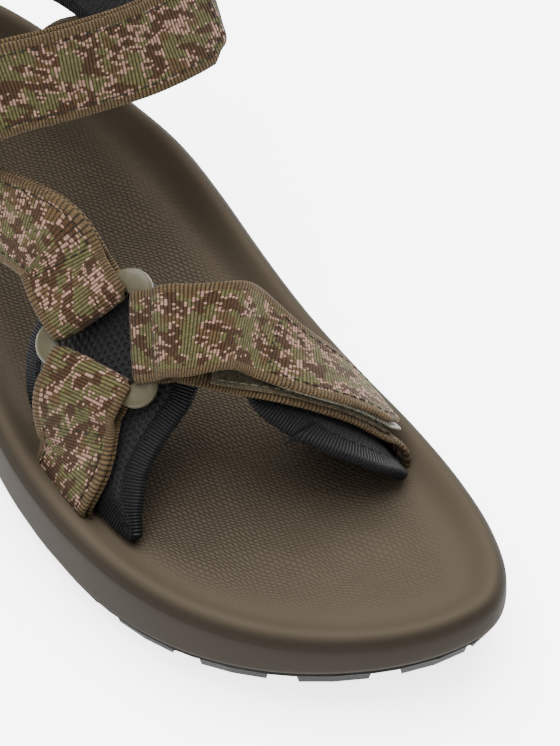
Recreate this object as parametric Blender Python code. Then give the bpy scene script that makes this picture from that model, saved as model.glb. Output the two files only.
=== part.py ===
"""Strappy sport sandal, right foot.

Sizes are in millimetres and each mesh is made in metres. Toe towards -Y, medial side towards +X.
The straps lie on layers above one foot surface, so a changed size carries through to what fits it.
"""
import math

import bmesh
import bpy
import numpy as np

# ---- overall sizes -------------------------------------------------------------------------
LENGTH = 284.0          # heel to toe
WIDTH = 102.0           # widest, at the ball
CLEAR = 0.3             # gap kept between pieces that touch
# ---- sole ----------------------------------------------------------------------------------
LUG_H = 4.0             # lug height
PLATE_T = 2.0           # rubber sheet over the lugs
FORE_THICK = 14.0       # footbed over the outsole under the toes
HEEL_THICK = 21.0       # and under the heel
RIM_H = 6.5             # rim above the footbed
RIM_FALL = 2.5          # how much lower the rim is at the toe tip
ARCH_RISE = 6.0         # extra rim height at the medial arch
HEEL_CUP = 5.0          # extra rim height round the heel
RIM_W = 9.0             # outer wall to the inner foot of the rim
TOE_THIN = 5.5          # how much thinner the toe tip is
TOE_SPRING = 13.5       # lift of the toe tip
HEEL_SPRING = 3.0       # lift of the heel tip
SHANK_L, SHANK_W, SHANK_T = 104.0, 34.0, 1.5
PUCK_L, PUCK_W, PUCK_T = 34.0, 24.0, 6.0
# ---- webbing -------------------------------------------------------------------------------
STRAP_W = 25.0          # webbing width
STRAP_T = 1.8           # webbing thickness
RISER_W = 19.0          # webbing of the two heel risers
PILE_T = 1.3            # loop pile patch
HOOK_T = 1.1            # hook patch
TAIL_L = 12.0           # strap tail held under the footbed
BOW_H = 6.0             # how far a closed flap stands off near its ring
TOE_SWAY = 4.0          # sideways stray of the toe flap over its strap
# ---- rings ---------------------------------------------------------------------------------
RING_SIDE = 39.0        # side of the bar centreline triangle
RING_BEND = 4.0         # centreline radius at its corners
BAR_W, BAR_T = 5.0, 3.8
# ---- padding -------------------------------------------------------------------------------
PAD_T = 3.0             # pad and binding thickness
EDGE_T = 1.2            # pad thickness inside its binding
BIND_W = 5.0            # binding width on each face
BIND_OUT = 1.0          # binding beyond the pad's edge
COLLAR_H = 36.0         # heel collar height
# ---- foot room -----------------------------------------------------------------------------
BALL_H = 27.0           # strap arch over the footbed at the ball
INSTEP_H = 63.0         # and at the instep
STRAP_Z = 84.0          # height of the heel strap's centreline

SX, SY = WIDTH / 102.0, LENGTH / 284.0
NOMINAL = np.array([
    (17, -138.5), (2, -134.5), (-13, -126), (-27, -114), (-38, -100), (-46, -85), (-51.5, -67), (-54, -47),
    (-54, -26), (-51.5, -6), (-48, 14), (-45, 36), (-43, 60), (-42, 84), (-39.5, 105), (-33, 123),
    (-20, 137), (-2, 142), (16, 138), (29, 127), (37, 110), (41.5, 88), (44.5, 66), (46.5, 44),
    (46.5, 22), (46, 0), (46, -25), (47, -50), (48, -75), (47, -98), (43.5, -116), (37, -130),
    (28, -137.5)], float)
BASE = np.array([-3.0, 0.0])


def unit(v):
    """Vectors of length one, along the last axis."""
    v = np.asarray(v, float)
    return v / np.maximum(np.linalg.norm(v, axis=-1, keepdims=True), 1e-12)


def spline(points, count, closed=False):
    """Smooth curve through points, count samples at even spacing."""
    p = np.asarray(points, float)
    if closed:
        p = np.vstack([p[-2:], p, p[:3]])
    else:
        p = np.vstack([2 * p[0] - p[1], p, 2 * p[-1] - p[-2]])
    knot = np.concatenate([[0], np.cumsum(np.sqrt(np.linalg.norm(np.diff(p, axis=0), axis=1)))])
    out = []
    for i in range(2, len(p) - 3) if closed else range(1, len(p) - 2):
        t0, t1, t2, t3 = knot[i - 1:i + 3]
        t = np.linspace(t1, t2, 24, endpoint=False)[:, None]
        a1 = (t1 - t) / (t1 - t0) * p[i - 1] + (t - t0) / (t1 - t0) * p[i]
        a2 = (t2 - t) / (t2 - t1) * p[i] + (t - t1) / (t2 - t1) * p[i + 1]
        a3 = (t3 - t) / (t3 - t2) * p[i + 1] + (t - t2) / (t3 - t2) * p[i + 2]
        b1 = (t2 - t) / (t2 - t0) * a1 + (t - t0) / (t2 - t0) * a2
        b2 = (t3 - t) / (t3 - t1) * a2 + (t - t1) / (t3 - t1) * a3
        out.append((t2 - t) / (t2 - t1) * b1 + (t - t1) / (t2 - t1) * b2)
    out = np.vstack(out + [p[2:3] if closed else p[-2:-1]])
    run = np.concatenate([[0], np.cumsum(np.linalg.norm(np.diff(out, axis=0), axis=1))])
    at = np.linspace(0, run[-1], count + 1)[:-1] if closed else np.linspace(0, run[-1], count)
    return np.stack([np.interp(at, run, out[:, k]) for k in range(p.shape[1])], axis=1)


def smooth(x, a, b):
    """0 below a, 1 above b, eased between."""
    t = np.clip((np.asarray(x, float) - a) / (b - a), 0, 1)
    return t * t * (3 - 2 * t)


# ---- outline of the sole -------------------------------------------------------------------
EDGE = spline(NOMINAL * [SX, SY], 720, closed=True)
EDGE[:, 1] += -0.5 * (EDGE[:, 1].max() + EDGE[:, 1].min())
EDGE[:, 1] *= LENGTH / np.ptp(EDGE[:, 1])
EDGE = np.roll(EDGE, -int(np.argmin(EDGE[:, 1])), axis=0)
_t = unit(np.roll(EDGE, -3, axis=0) - np.roll(EDGE, 3, axis=0))
EDGE_OUT = np.stack([-_t[:, 1], _t[:, 0]], axis=1)
if np.mean(np.sum(EDGE_OUT * (EDGE - BASE), axis=1)) < 0:
    EDGE_OUT = -EDGE_OUT
HEEL_AT = int(np.argmax(EDGE[:, 1]))
PITCHES = 12            # lugs along each side


def loop_stations():
    """Places round the outline, toe tip first: half lug, half lug, gap, repeated on each side."""
    share = np.cumsum([0.0] + [0.395, 0.395, 0.21] * PITCHES) / PITCHES
    one = share * HEEL_AT
    two = HEEL_AT + (len(EDGE) - HEEL_AT) * (1 - share[::-1])
    return np.concatenate([one, two[1:-1]])


STATION = loop_stations()


def outline(inset):
    """The outline moved inwards by inset, at the stations."""
    ring = EDGE - EDGE_OUT * inset
    wrap = np.vstack([ring, ring[:1]])
    k = np.arange(len(wrap))
    return np.stack([np.interp(STATION, k, wrap[:, 0]), np.interp(STATION, k, wrap[:, 1])], axis=1)


def side_x(y, side, inset):
    """X of the inset outline at height y on the page; side -1 lateral, +1 medial."""
    ring = EDGE - EDGE_OUT * inset
    half = ring[:HEEL_AT + 1] if ring[HEEL_AT // 2, 0] * side > 0 else ring[HEEL_AT:][::-1]
    order = np.argsort(half[:, 1])
    return np.interp(y, half[order, 1], half[order, 0])


def side_dir(y, side, inset):
    """Direction along the inset outline at y, towards the heel."""
    a, b = side_x(y - 4, side, inset), side_x(y + 4, side, inset)
    return unit(np.array([b - a, 8.0, 0.0]))


def under(y):
    """Underside of the midsole."""
    y = np.asarray(y, float)
    toe = np.clip((-0.20 * LENGTH - y) / (0.30 * LENGTH), 0, 1)
    heel = np.clip((y - 0.38 * LENGTH) / (0.12 * LENGTH), 0, 1)
    return LUG_H + PLATE_T + CLEAR + TOE_SPRING * toe ** 2 + HEEL_SPRING * heel ** 2


def thickness(y):
    """Footbed over the outsole."""
    toe = np.clip((-0.22 * LENGTH - y) / (0.28 * LENGTH), 0, 1)
    heel = smooth(y, -0.2 * LENGTH, 0.25 * LENGTH)
    return FORE_THICK + (HEEL_THICK - FORE_THICK) * heel - TOE_THIN * toe ** 1.5


def bed(x, y):
    """Footbed surface, dished across."""
    y = np.asarray(y, float)
    return under(y) + thickness(y) + 2.0 * ((np.asarray(x) + 3 * SX) / (0.5 * WIDTH)) ** 2


def rim(x, y):
    """Crest of the rim."""
    x, y = np.asarray(x, float), np.asarray(y, float)
    arch = ARCH_RISE * np.exp(-((y - 0.12 * LENGTH) / (0.15 * LENGTH)) ** 2) * smooth(x, -30 * SX, 30 * SX)
    cup = HEEL_CUP * smooth(y, 0.2 * LENGTH, 0.45 * LENGTH)
    fall = RIM_FALL * smooth(-y, 0.25 * LENGTH, 0.48 * LENGTH)
    return under(y) + thickness(y) + RIM_H + arch + cup - fall


# ---- mesh helpers --------------------------------------------------------------------------
for old in list(bpy.data.objects):
    bpy.data.objects.remove(old, do_unlink=True)

MADE = []


def material(name, colour, rough, metal=0.0):
    """Plain Principled material; colour is linear RGB."""
    mat = bpy.data.materials.new(name)
    mat.use_nodes = True
    node = next(n for n in mat.node_tree.nodes if n.type == "BSDF_PRINCIPLED")
    node.inputs["Base Color"].default_value = (*colour, 1.0)
    node.inputs["Roughness"].default_value = rough
    node.inputs["Metallic"].default_value = metal
    mat.diffuse_color = (*colour, 1.0)
    return mat


def add(name, verts, faces, mat, helper=False):
    """Object from vertices in millimetres and faces, normals outwards."""
    mesh = bpy.data.meshes.new(name)
    mesh.from_pydata((np.asarray(verts) * 0.001).tolist(), [], faces)
    work = bmesh.new()
    work.from_mesh(mesh)
    bmesh.ops.remove_doubles(work, verts=work.verts, dist=0.000002)
    bmesh.ops.recalc_face_normals(work, faces=work.faces)
    work.to_mesh(mesh)
    work.free()
    obj = bpy.data.objects.new(name, mesh)
    bpy.context.scene.collection.objects.link(obj)
    if mat:
        mesh.materials.append(mat)
    if helper:
        obj.hide_render = True
        obj.display_type = "WIRE"
    else:
        MADE.append(obj)
    return obj


def cut(obj, tool):
    """Boolean cut, kept live."""
    mod = obj.modifiers.new("cut_" + tool.name, "BOOLEAN")
    mod.operation = "DIFFERENCE"
    mod.solver = "EXACT"
    mod.object = tool


def halves(a, b, c, d, other):
    """A four-sided face as two triangles, cut from a to c, or from b to d if other."""
    return [(a, b, d), (b, c, d)] if other else [(a, b, c), (a, c, d)]


def sweep(name, rings, mat, closed=False, other=None):
    """Solid through equal rings of points; capped, or closed on itself."""
    rings = np.asarray(rings)
    n, m = rings.shape[:2]
    faces = []
    for i in range(n if closed else n - 1):
        a, b = i * m, ((i + 1) % n) * m
        for j in range(m):
            k = (j + 1) % m
            faces += halves(a + j, a + k, b + k, b + j, other is not None and other[j])
    if not closed:
        faces += [tuple(range(m)), tuple(range((n - 1) * m, n * m))]
    return add(name, rings.reshape(-1, 3), faces, mat)


def prism(name, poly, origin, ax, ay, along, length, mat=None, helper=True):
    """Polygon in the plane (ax, ay), extruded by length, centred, along a direction."""
    poly = np.asarray(poly, float)
    flat = origin + poly[:, :1] * ax + poly[:, 1:] * ay
    m = len(poly)
    verts = np.vstack([flat - along * length / 2, flat + along * length / 2])
    faces = [(j, (j + 1) % m, m + (j + 1) % m, m + j) for j in range(m)]
    faces += [tuple(range(m)), tuple(range(m, 2 * m))]
    return add(name, verts, faces, mat, helper)


def plate(name, loops, q, place, mat, low=None, high=None):
    """Solid from a stack of page loops (n, 2) with a level each, closed by cross lines.

    place(page points, level) gives the point in space. Index 0 and n/2 of a loop are its two ends.
    """
    n = len(loops[0][0])
    m = n // 2
    verts = [place(page, level) for page, level in loops]
    faces = []
    for k in range(len(loops) - 1):
        a, b = k * n, (k + 1) * n
        reach = [np.linalg.norm(verts[i] - verts[i].mean(axis=0), axis=1).mean() for i in (k, k + 1)]
        for j in range(n):
            faces += halves(a + j, a + (j + 1) % n, b + (j + 1) % n, b + j, reach[0] > reach[1])
    total = len(loops) * n
    for k, lift in ((0, low), (len(loops) - 1, high)):
        page, level = loops[k]
        rows = [[k * n]]
        for i in range(1, m):
            share = np.linspace(0, 1, q + 1)[1:-1, None]
            inner = page[i] * (1 - share) + page[n - i] * share
            verts.append(place(inner, level if lift is None else lift))
            rows.append([k * n + i] + list(range(total, total + q - 1)) + [k * n + n - i])
            total += q - 1
        rows.append([k * n + m])
        for i in range(len(rows) - 1):
            one, two = rows[i], rows[i + 1]
            if len(one) == 1:
                faces += [(one[0], two[j], two[j + 1]) for j in range(q)]
            elif len(two) == 1:
                faces += [(one[j + 1], one[j], two[0]) for j in range(q)]
            else:
                faces += [(one[j], two[j], two[j + 1], one[j + 1]) for j in range(q)]
    return add(name, np.vstack(verts), faces, mat)


# ---- materials -----------------------------------------------------------------------------
EVA = material("eva_taupe", (0.130, 0.108, 0.078), 0.75)
RUBBER = material("rubber_black", (0.012, 0.012, 0.012), 0.6)
PLASTIC = material("ring_olive", (0.150, 0.140, 0.080), 0.35)
CAMO = material("webbing_camo", (0.110, 0.095, 0.060), 0.9)
PILE = material("pile_grey_green", (0.110, 0.120, 0.095), 0.95)
HOOK = material("hook_grey_green", (0.120, 0.130, 0.105), 0.7)
MESH = material("mesh_black", (0.014, 0.014, 0.015), 0.9)
TAPE = material("grosgrain_black", (0.010, 0.010, 0.011), 0.85)
NYLON = material("nylon_black", (0.02, 0.02, 0.02), 0.5)
FOAM = material("foam_grey", (0.2, 0.2, 0.2), 0.9)

# ---- midsole -------------------------------------------------------------------------------
RIM_LOOPS = [
    (outline(1.5), lambda x, y: under(y)),
    (outline(0.0), lambda x, y: under(y) + 2.5),
    (outline(0.3), lambda x, y: 0.5 * (under(y) + rim(x, y)) - 1.0),
    (outline(1.4), lambda x, y: rim(x, y) - 3.0),
    (outline(2.6), lambda x, y: rim(x, y) - 0.8),
    (outline(4.0), lambda x, y: rim(x, y)),
    (outline(5.8), lambda x, y: 0.12 * bed(x, y) + 0.88 * rim(x, y)),
    (outline(RIM_W - 1.0), lambda x, y: 0.5 * bed(x, y) + 0.5 * rim(x, y)),
    (outline(RIM_W + 1.5), lambda x, y: 0.86 * bed(x, y) + 0.14 * rim(x, y)),
    (outline(RIM_W + 4.4), bed),
]


def on_level(page, level):
    """Page points raised to their level."""
    return np.column_stack([page, np.broadcast_to(level(page[:, 0], page[:, 1]), len(page))])


midsole = plate("midsole", RIM_LOOPS, 6, on_level, EVA)

# ---- outsole: sheet, then lugs drawn out of its underside ----------------------------------
PLATE_LOOPS = [
    (outline(12.8), lambda x, y: under(y) - CLEAR - PLATE_T),
    (outline(11.0), lambda x, y: under(y) - CLEAR - PLATE_T),
    (outline(1.6), lambda x, y: under(y) - CLEAR - PLATE_T),
    (outline(0.9), lambda x, y: under(y) - CLEAR - 0.5 * PLATE_T),
    (outline(1.6), lambda x, y: under(y) - CLEAR),
]
COLUMNS = 4
outsole = plate("outsole", PLATE_LOOPS, COLUMNS, on_level, RUBBER)
work = bmesh.new()
work.from_mesh(outsole.data)
bmesh.ops.join_triangles(work, faces=work.faces, angle_face_threshold=3.0, angle_shape_threshold=3.0)
work.faces.ensure_lookup_table()
work.verts.ensure_lookup_table()
N_LOOP = len(STATION)
M_LOOP = N_LOOP // 2


def side_index(i):
    """Step along its own side, counted from the toe, of the loop face after point i."""
    return i if i < M_LOOP else N_LOOP - 1 - i


face_of = {frozenset(v.index for v in f.verts): f for f in work.faces}
edge_lugs, deep = {}, []
for i in range(N_LOOP):
    step = side_index(i)
    if step % 3 == 2:
        continue
    j = (i + 1) % N_LOOP
    f = face_of.get(frozenset((N_LOOP + i, N_LOOP + j, 2 * N_LOOP + j, 2 * N_LOOP + i)))
    if f:
        edge_lugs.setdefault((i < M_LOOP, step // 3), []).append(f)
first = len(PLATE_LOOPS) * N_LOOP
for i in range(2, M_LOOP - 2):
    if i % 3 == 2:
        continue
    for c in range(COLUMNS):
        row = []
        for r in (i, i + 1):
            ids = [r] + [first + (r - 1) * (COLUMNS - 1) + k for k in range(COLUMNS - 1)] + [N_LOOP - r]
            row.append((ids[c], ids[c + 1]))
        f = face_of.get(frozenset((*row[0], *row[1])))
        if f and (i // 3 + c) % 2 == 0:
            deep.append(f)


def draw_out(faces, edge):
    """Push a patch of the underside down into one lug with sloping sides."""
    bmesh.ops.inset_region(work, faces=faces, thickness=edge, use_even_offset=True)
    got = bmesh.ops.extrude_face_region(work, geom=faces)
    new = [g for g in got["geom"] if isinstance(g, bmesh.types.BMVert)]
    mid = sum((v.co for v in new), new[0].co * 0) / len(new)
    for v in new:
        v.co.z -= LUG_H * 0.001
        v.co.x += (mid.x - v.co.x) * 0.08
        v.co.y += (mid.y - v.co.y) * 0.08
    bmesh.ops.delete(work, geom=[f for f in faces if f.is_valid], context="FACES")


for group in edge_lugs.values():
    draw_out(group, 0.0008)
for f in deep:
    draw_out([f], 0.0018)
bmesh.ops.recalc_face_normals(work, faces=work.faces)
work.to_mesh(outsole.data)
work.free()

# ---- shank and heel puck, let into the underside of the midsole ----------------------------
SHANK_Y = 0.085 * LENGTH
PUCK_Y = 0.345 * LENGTH


def bar_loop(cx, cy, length, width, corner, n=24):
    """Rounded rectangle on the page, long along Y, first point at its toe end."""
    a = np.linspace(0, 2 * np.pi, n, endpoint=False)
    k = 2.0 / corner
    x = width / 2 * np.sign(np.sin(a)) * np.abs(np.sin(a)) ** k
    y = -length / 2 * np.sign(np.cos(a)) * np.abs(np.cos(a)) ** k
    return np.column_stack([cx + x, cy + y])


def inlay(name, cy, length, width, thick, mat):
    """A flat piece in a pocket under the midsole, and the pocket's cutter."""
    cx = 0.5 * (side_x(cy, -1, 0) + side_x(cy, 1, 0))
    base = float(under(cy))

    def flat(page, level):
        return np.column_stack([page, np.full(len(page), level)])
    plate(name, [(bar_loop(cx, cy, length, width, 5), base),
                 (bar_loop(cx, cy, length, width, 5), base + thick)], 2, flat, mat)
    grown = bar_loop(cx, cy, length + 2 * CLEAR, width + 2 * CLEAR, 5)
    tool = plate("pocket_" + name, [(grown, base - 5.0), (grown, base + thick + CLEAR)], 2, flat, None)
    MADE.remove(tool)
    tool.hide_render = True
    tool.display_type = "WIRE"
    cut(midsole, tool)


inlay("shank", SHANK_Y, SHANK_L, SHANK_W, SHANK_T, NYLON)
inlay("heel_cushion", PUCK_Y, PUCK_L, PUCK_W, PUCK_T, FOAM)

# ---- foot surface that the straps lie over -------------------------------------------------
LAYER = PAD_T + 2 * CLEAR + STRAP_T / 2          # strap centreline over the foot surface
SLOT_IN = RIM_W + 1.2                            # slot centreline inside the outline


def foot(y, th, h=0.0):
    """Point at distance h outside the foot surface; th from -90 lateral over the top to 90 medial."""
    y, th = np.broadcast_arrays(np.asarray(y, float), np.asarray(th, float))

    def raw(yy, tt):
        f = yy / SY
        room = BALL_H + (INSTEP_H - BALL_H) * np.interp(
            f, [-142, -100, -60, -25, 5, 25, 45, 60, 80],
            [-0.5, -0.3, 0.0, 0.34, 0.72, 1.0, 1.28, 1.5, 1.7])
        ridge = np.interp(f, [-142, -60, 0, 60], [14, 8, 4, 2]) * SX
        lo = side_x(yy, -1, SLOT_IN) + LAYER
        hi = side_x(yy, 1, SLOT_IN) - LAYER
        lat = np.interp(f, [-80, -20, 20, 60], [1.45, 1.45, 1.9, 2.8])
        med = np.interp(f, [-80, -20, 20, 60], [1.6, 1.7, 2.1, 2.8])
        a = np.radians(np.clip(tt, -90, 90))
        s, c = np.abs(np.sin(a)), np.abs(np.cos(a))
        p = np.where(tt < 0, lat, med)
        x = ridge + np.where(tt < 0, lo - ridge, hi - ridge) * s ** (2 / p)
        z = bed(ridge, yy) + room * c ** (2 / p)
        return np.stack([x, yy, z], axis=-1)
    at = raw(y, th)
    e = 0.5
    dy = raw(y + e, th) - raw(y - e, th)
    dt = raw(y, np.clip(th + e, -89.9, 89.9)) - raw(y, np.clip(th - e, -89.9, 89.9))
    n = unit(np.cross(unit(dt), unit(dy)))
    n = np.where(n[..., 2:] < -0.2, -n, n)
    return at + n * np.asarray(h)[..., None] if np.ndim(h) else at + n * h


def normal_at(y, th):
    """Outward direction of the foot surface."""
    return unit(foot(y, th, 1.0) - foot(y, th, 0.0))


# ---- rings ---------------------------------------------------------------------------------
APOTHEM = RING_SIDE / (2 * math.sqrt(3))
WRAP_A = BAR_W / 2 + CLEAR + STRAP_T / 2         # strap centreline round a bar, in the ring's plane
WRAP_B = BAR_T / 2 + CLEAR + STRAP_T / 2         # and across it
RING_LIFT = 5 * CLEAR + PAD_T + STRAP_T + BAR_T / 2 + 0.6
HALF_GAP = (STRAP_T + CLEAR) / 2                 # half the distance between two sewn layers
DOUBLE = PAD_T + 2 * CLEAR + STRAP_T + CLEAR / 2  # centre of a doubled strap over the foot surface


class Frame:
    """A ring's place: centre, normal, and the outward direction of its first bar."""

    def __init__(self, name, centre, normal, first):
        self.name, self.c, self.n = name, np.asarray(centre, float), unit(normal)
        self.e = unit(first - self.n * np.dot(first, self.n))

    def out(self, k):
        """Outward direction of bar k."""
        a = math.radians(120 * k)
        return self.e * math.cos(a) + np.cross(self.n, self.e) * math.sin(a)

    def bar(self, k):
        """Middle of bar k."""
        return self.c + self.out(k) * APOTHEM

    def solid(self):
        """The moulded ring: an oval bar round a rounded triangle."""
        path, face = [], []
        flat = RING_SIDE / 2 - RING_BEND * math.sqrt(3)
        for k in range(3):
            u, v = self.out(k), np.cross(self.n, self.out(k))
            mid = self.c + u * APOTHEM
            for at in (-0.98, 0.0):
                path.append(mid + v * flat * at)
                face.append(u)
            hub = mid + v * flat - u * RING_BEND
            for step in range(6):
                a = math.radians(120 * step / 5)
                d = u * math.cos(a) + v * math.sin(a)
                path.append(hub + d * RING_BEND)
                face.append(d)
        turn = np.linspace(0, 2 * np.pi, 10, endpoint=False)
        rings = [p + np.outer(np.cos(turn) * BAR_W / 2, d) + np.outer(np.sin(turn) * BAR_T / 2, self.n)
                 for p, d in zip(path, face)]
        return sweep(self.name, rings, PLASTIC, closed=True)


def page_dir(n, degrees):
    """Direction in the plane with normal n, turned from +X towards +Y."""
    e1 = unit(np.array([1.0, 0, 0]) - n * n[0])
    return e1 * math.cos(math.radians(degrees)) + np.cross(n, e1) * math.sin(math.radians(degrees))


# ---- heel collar surface -------------------------------------------------------------------
COLLAR_PLAN = np.array([(-24.5, 40), (-28, 52), (-31, 68), (-31.5, 88), (-22, 108), (-2.5, 117),
                        (18, 108), (31, 88), (35, 68), (36, 52), (35, 40)], float) * [SX, SY]
COLLAR_LINE = spline(COLLAR_PLAN, 240)
COLLAR_RUN = np.concatenate([[0], np.cumsum(np.linalg.norm(np.diff(COLLAR_LINE, axis=0), axis=1))])
COLLAR_LEN = COLLAR_RUN[-1]
COLLAR_TAN = unit(np.gradient(COLLAR_LINE, axis=0))


def collar(s, v, h):
    """Point on the collar: s along it from the lateral front, v up from the strap's line, h outwards."""
    s, v = np.broadcast_arrays(np.asarray(s, float), np.asarray(v, float))
    x = np.interp(s, COLLAR_RUN, COLLAR_LINE[:, 0])
    y = np.interp(s, COLLAR_RUN, COLLAR_LINE[:, 1])
    tx = np.interp(s, COLLAR_RUN, COLLAR_TAN[:, 0])
    ty = np.interp(s, COLLAR_RUN, COLLAR_TAN[:, 1])
    k = np.hypot(tx, ty)
    return np.stack([x - h * ty / k, y + h * tx / k, STRAP_Z + v], axis=-1)


def collar_out(s):
    """Outward direction of the collar."""
    return unit(collar(s, 0.0, 1.0) - collar(s, 0.0, 0.0))


LAT_S, MED_S = 15.0 * SY, 20.0 * SY              # ankle ring centres from the collar's front ends
FORE = (-24.0 * SY, -36.0)                       # forefoot ring on the foot surface
fore_n = normal_at(*FORE)
fore = Frame("forefoot_ring", foot(*FORE) + fore_n * RING_LIFT, fore_n, page_dir(fore_n, -30.0))
lat_n, med_n = collar_out(LAT_S), collar_out(COLLAR_LEN - MED_S)
FORWARD, UP = np.array([0, -1.0, 0]), np.array([0, 0, 1.0])


def tilted(degrees):
    """Direction in an upright plane, from forwards towards up."""
    a = math.radians(degrees)
    return FORWARD * math.cos(a) + UP * math.sin(a)


lat = Frame("lateral_ankle_ring", collar(LAT_S, -4.0, RING_LIFT), lat_n, tilted(-58.0))
med = Frame("medial_ankle_ring", collar(COLLAR_LEN - MED_S, -1.0, RING_LIFT), med_n, tilted(-82.0))
for frame in (fore, lat, med):
    frame.solid()
FORE_TOE, FORE_QUARTER, FORE_ANCHOR = 0, 1, 2
LAT_QUARTER, LAT_ANKLE, LAT_HEEL = 0, 2, 1
MED_ARCH, MED_ANKLE, MED_HEEL = 0, 1, 2
if np.dot(lat.out(2), UP) < np.dot(lat.out(1), UP):
    LAT_ANKLE, LAT_HEEL = 1, 2
if np.dot(med.out(2), UP) > np.dot(med.out(1), UP):
    MED_ANKLE, MED_HEEL = 2, 1


# ---- webbing -------------------------------------------------------------------------------
def ribbon(name, path, across, width, thick, mat, closed=False):
    """Flat strap of a thickness along a path, its width in the direction across."""
    path, across = np.asarray(path), np.asarray(across)
    if closed:
        ahead = np.roll(path, -1, axis=0) - np.roll(path, 1, axis=0)
    else:
        ahead = np.gradient(path, axis=0)
    ahead = unit(ahead)
    face = unit(np.cross(ahead, across))
    w = (np.broadcast_to(width, len(path)) / 2)[:, None] * across
    t = thick / 2 * face
    return sweep(name, np.stack([path - w - t, path + w - t, path + w + t, path - w + t], axis=1), mat, closed,
                 (False, False, True, False))


def route(points, normals, count):
    """Even samples along a smooth path with its outward direction and its width direction."""
    points, normals = np.asarray(points, float), np.asarray(normals, float)
    both = spline(np.hstack([points, 0.001 * unit(normals)]), count)
    path, out = both[:, :3], unit(both[:, 3:])
    ahead = unit(np.gradient(path, axis=0))
    ahead[0] = unit(path[1] - path[0])
    across = unit(np.cross(out, ahead))
    out = np.cross(ahead, across)
    run = np.concatenate([[0], np.cumsum(np.linalg.norm(np.diff(path, axis=0), axis=1))])
    return path, out, across, run


def wrap(frame, k, upto=270.0):
    """Strap centreline round bar k, from under it through the ring to over it, and its widths."""
    u = frame.out(k)
    a = np.radians(-np.linspace(90, upto, 9))
    r, h = APOTHEM + WRAP_A * np.cos(a), WRAP_B * np.sin(a)
    path = frame.c + np.outer(r, u) + np.outer(h, frame.n)
    inner = r - STRAP_T / 2 * np.abs(np.cos(a)) - 2 * CLEAR
    return path, np.minimum(STRAP_W, 2 * math.sqrt(3) * inner)


class Slot:
    """A slot through the midsole at the inner foot of the rim, with a pocket for the strap's tail."""

    def __init__(self, name, y, side, layers, wide=STRAP_W):
        self.y, self.side, self.layers = y, side, layers
        inset = SLOT_IN - (DOUBLE - LAYER if layers == 2 else 0)
        self.x = float(side_x(y, side, inset))
        self.along = side_dir(y, side, inset)
        self.out = unit(np.array([self.along[1], -self.along[0], 0.0]) * side)
        ends = [float(under(y + d * wide / 2)) for d in (-1.1, 1.1)]
        self.base, self.top = max(ends), float(bed(self.x, y))
        half = (STRAP_T / 2 + 2 * CLEAR) if layers == 1 else (STRAP_T + 2.5 * CLEAR)
        deep = STRAP_T + 2 * CLEAR
        poly = [(-half - 4.5, self.top + 16), (-half - 2.6, self.top + 2), (-half, self.top - 6),
                (-half, self.base - 3),
                (half + TAIL_L, self.base - 3), (half + TAIL_L, self.base + deep), (half, self.base + deep),
                (half, self.top + 16)]
        tool = prism("slot_" + name, poly, np.array([self.x, y, 0.0]), -self.out, UP, self.along,
                     wide + 17 * CLEAR)
        cut(midsole, tool)

    def at(self, z, h=0.0):
        """Point in the slot at height z, h outwards of its centre."""
        return np.array([self.x, self.y, z]) + self.out * h

    def tail(self, h=0.0):
        """Path down the slot and along its pocket, h outwards of the slot's centre."""
        low, bend = self.base + STRAP_T / 2 + 0.1, 1.5
        hub = self.at(low + bend, h) - self.out * bend
        turn = [hub + self.out * bend * math.cos(a) - UP * bend * math.sin(a)
                for a in np.radians([0, 30, 60, 90])]
        return np.array(turn + [self.at(low, h) - self.out * (TAIL_L - CLEAR)])


def spread(run):
    """Half distance between the layers of a doubled strap, wider at the bar it turns round."""
    return HALF_GAP + (WRAP_B - HALF_GAP) * (1 - smooth(run, 3.5, 17.0))


def lead_dir(frame, k, lead):
    """Direction in which a strap leaves bar k: square to it, or skewed towards a lead."""
    return frame.out(k) if lead is None else unit(lead - frame.n * np.dot(lead, frame.n))


def from_ring(frame, k, mids, end, count, lead=None, far_lead=None):
    """Route from a bar over control points to a slot or to another bar."""
    pts = [frame.bar(k) + lead_dir(frame, k, lead) * d for d in (0.0, 4.0, 8.0)]
    nor = [frame.n] * 3
    for m in mids:
        pts.append(m[0])
        nor.append(m[1])
    if isinstance(end, Slot):
        pts += [end.at(end.top + 3.0), end.at(end.top - 1.0), end.at(end.base + 9.0), end.at(end.base + 5.5)]
        nor += [end.out] * 4
    else:
        other, j = end
        pts += [other.bar(j) + lead_dir(other, j, far_lead) * d for d in (8.0, 4.0, 0.0)]
        nor += [other.n] * 3
    path, out, across, run = route(pts, nor, count)
    ease = smooth(run, 0.0, 18.0)[:, None]
    bar = np.cross(frame.n, frame.out(k))
    across = unit(bar * np.sign(np.dot(bar, across[0])) * (1 - ease) + across * ease)
    if not isinstance(end, Slot):
        ease = smooth(run[-1] - run, 0.0, 18.0)[:, None]
        bar = np.cross(end[0].n, end[0].out(end[1]))
        across = unit(bar * np.sign(np.dot(bar, across[-1])) * (1 - ease) + across * ease)
    return path, out, across, run


def on_foot(y, th, h):
    """Control point over the foot surface."""
    n = normal_at(y * SY, th)
    return foot(y * SY, th) + n * h, n


def over_foot(x, y, z, facing):
    """Control point at a given place and facing."""
    return np.array([x * SX, y * SY, z]), unit(np.array(facing))


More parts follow.
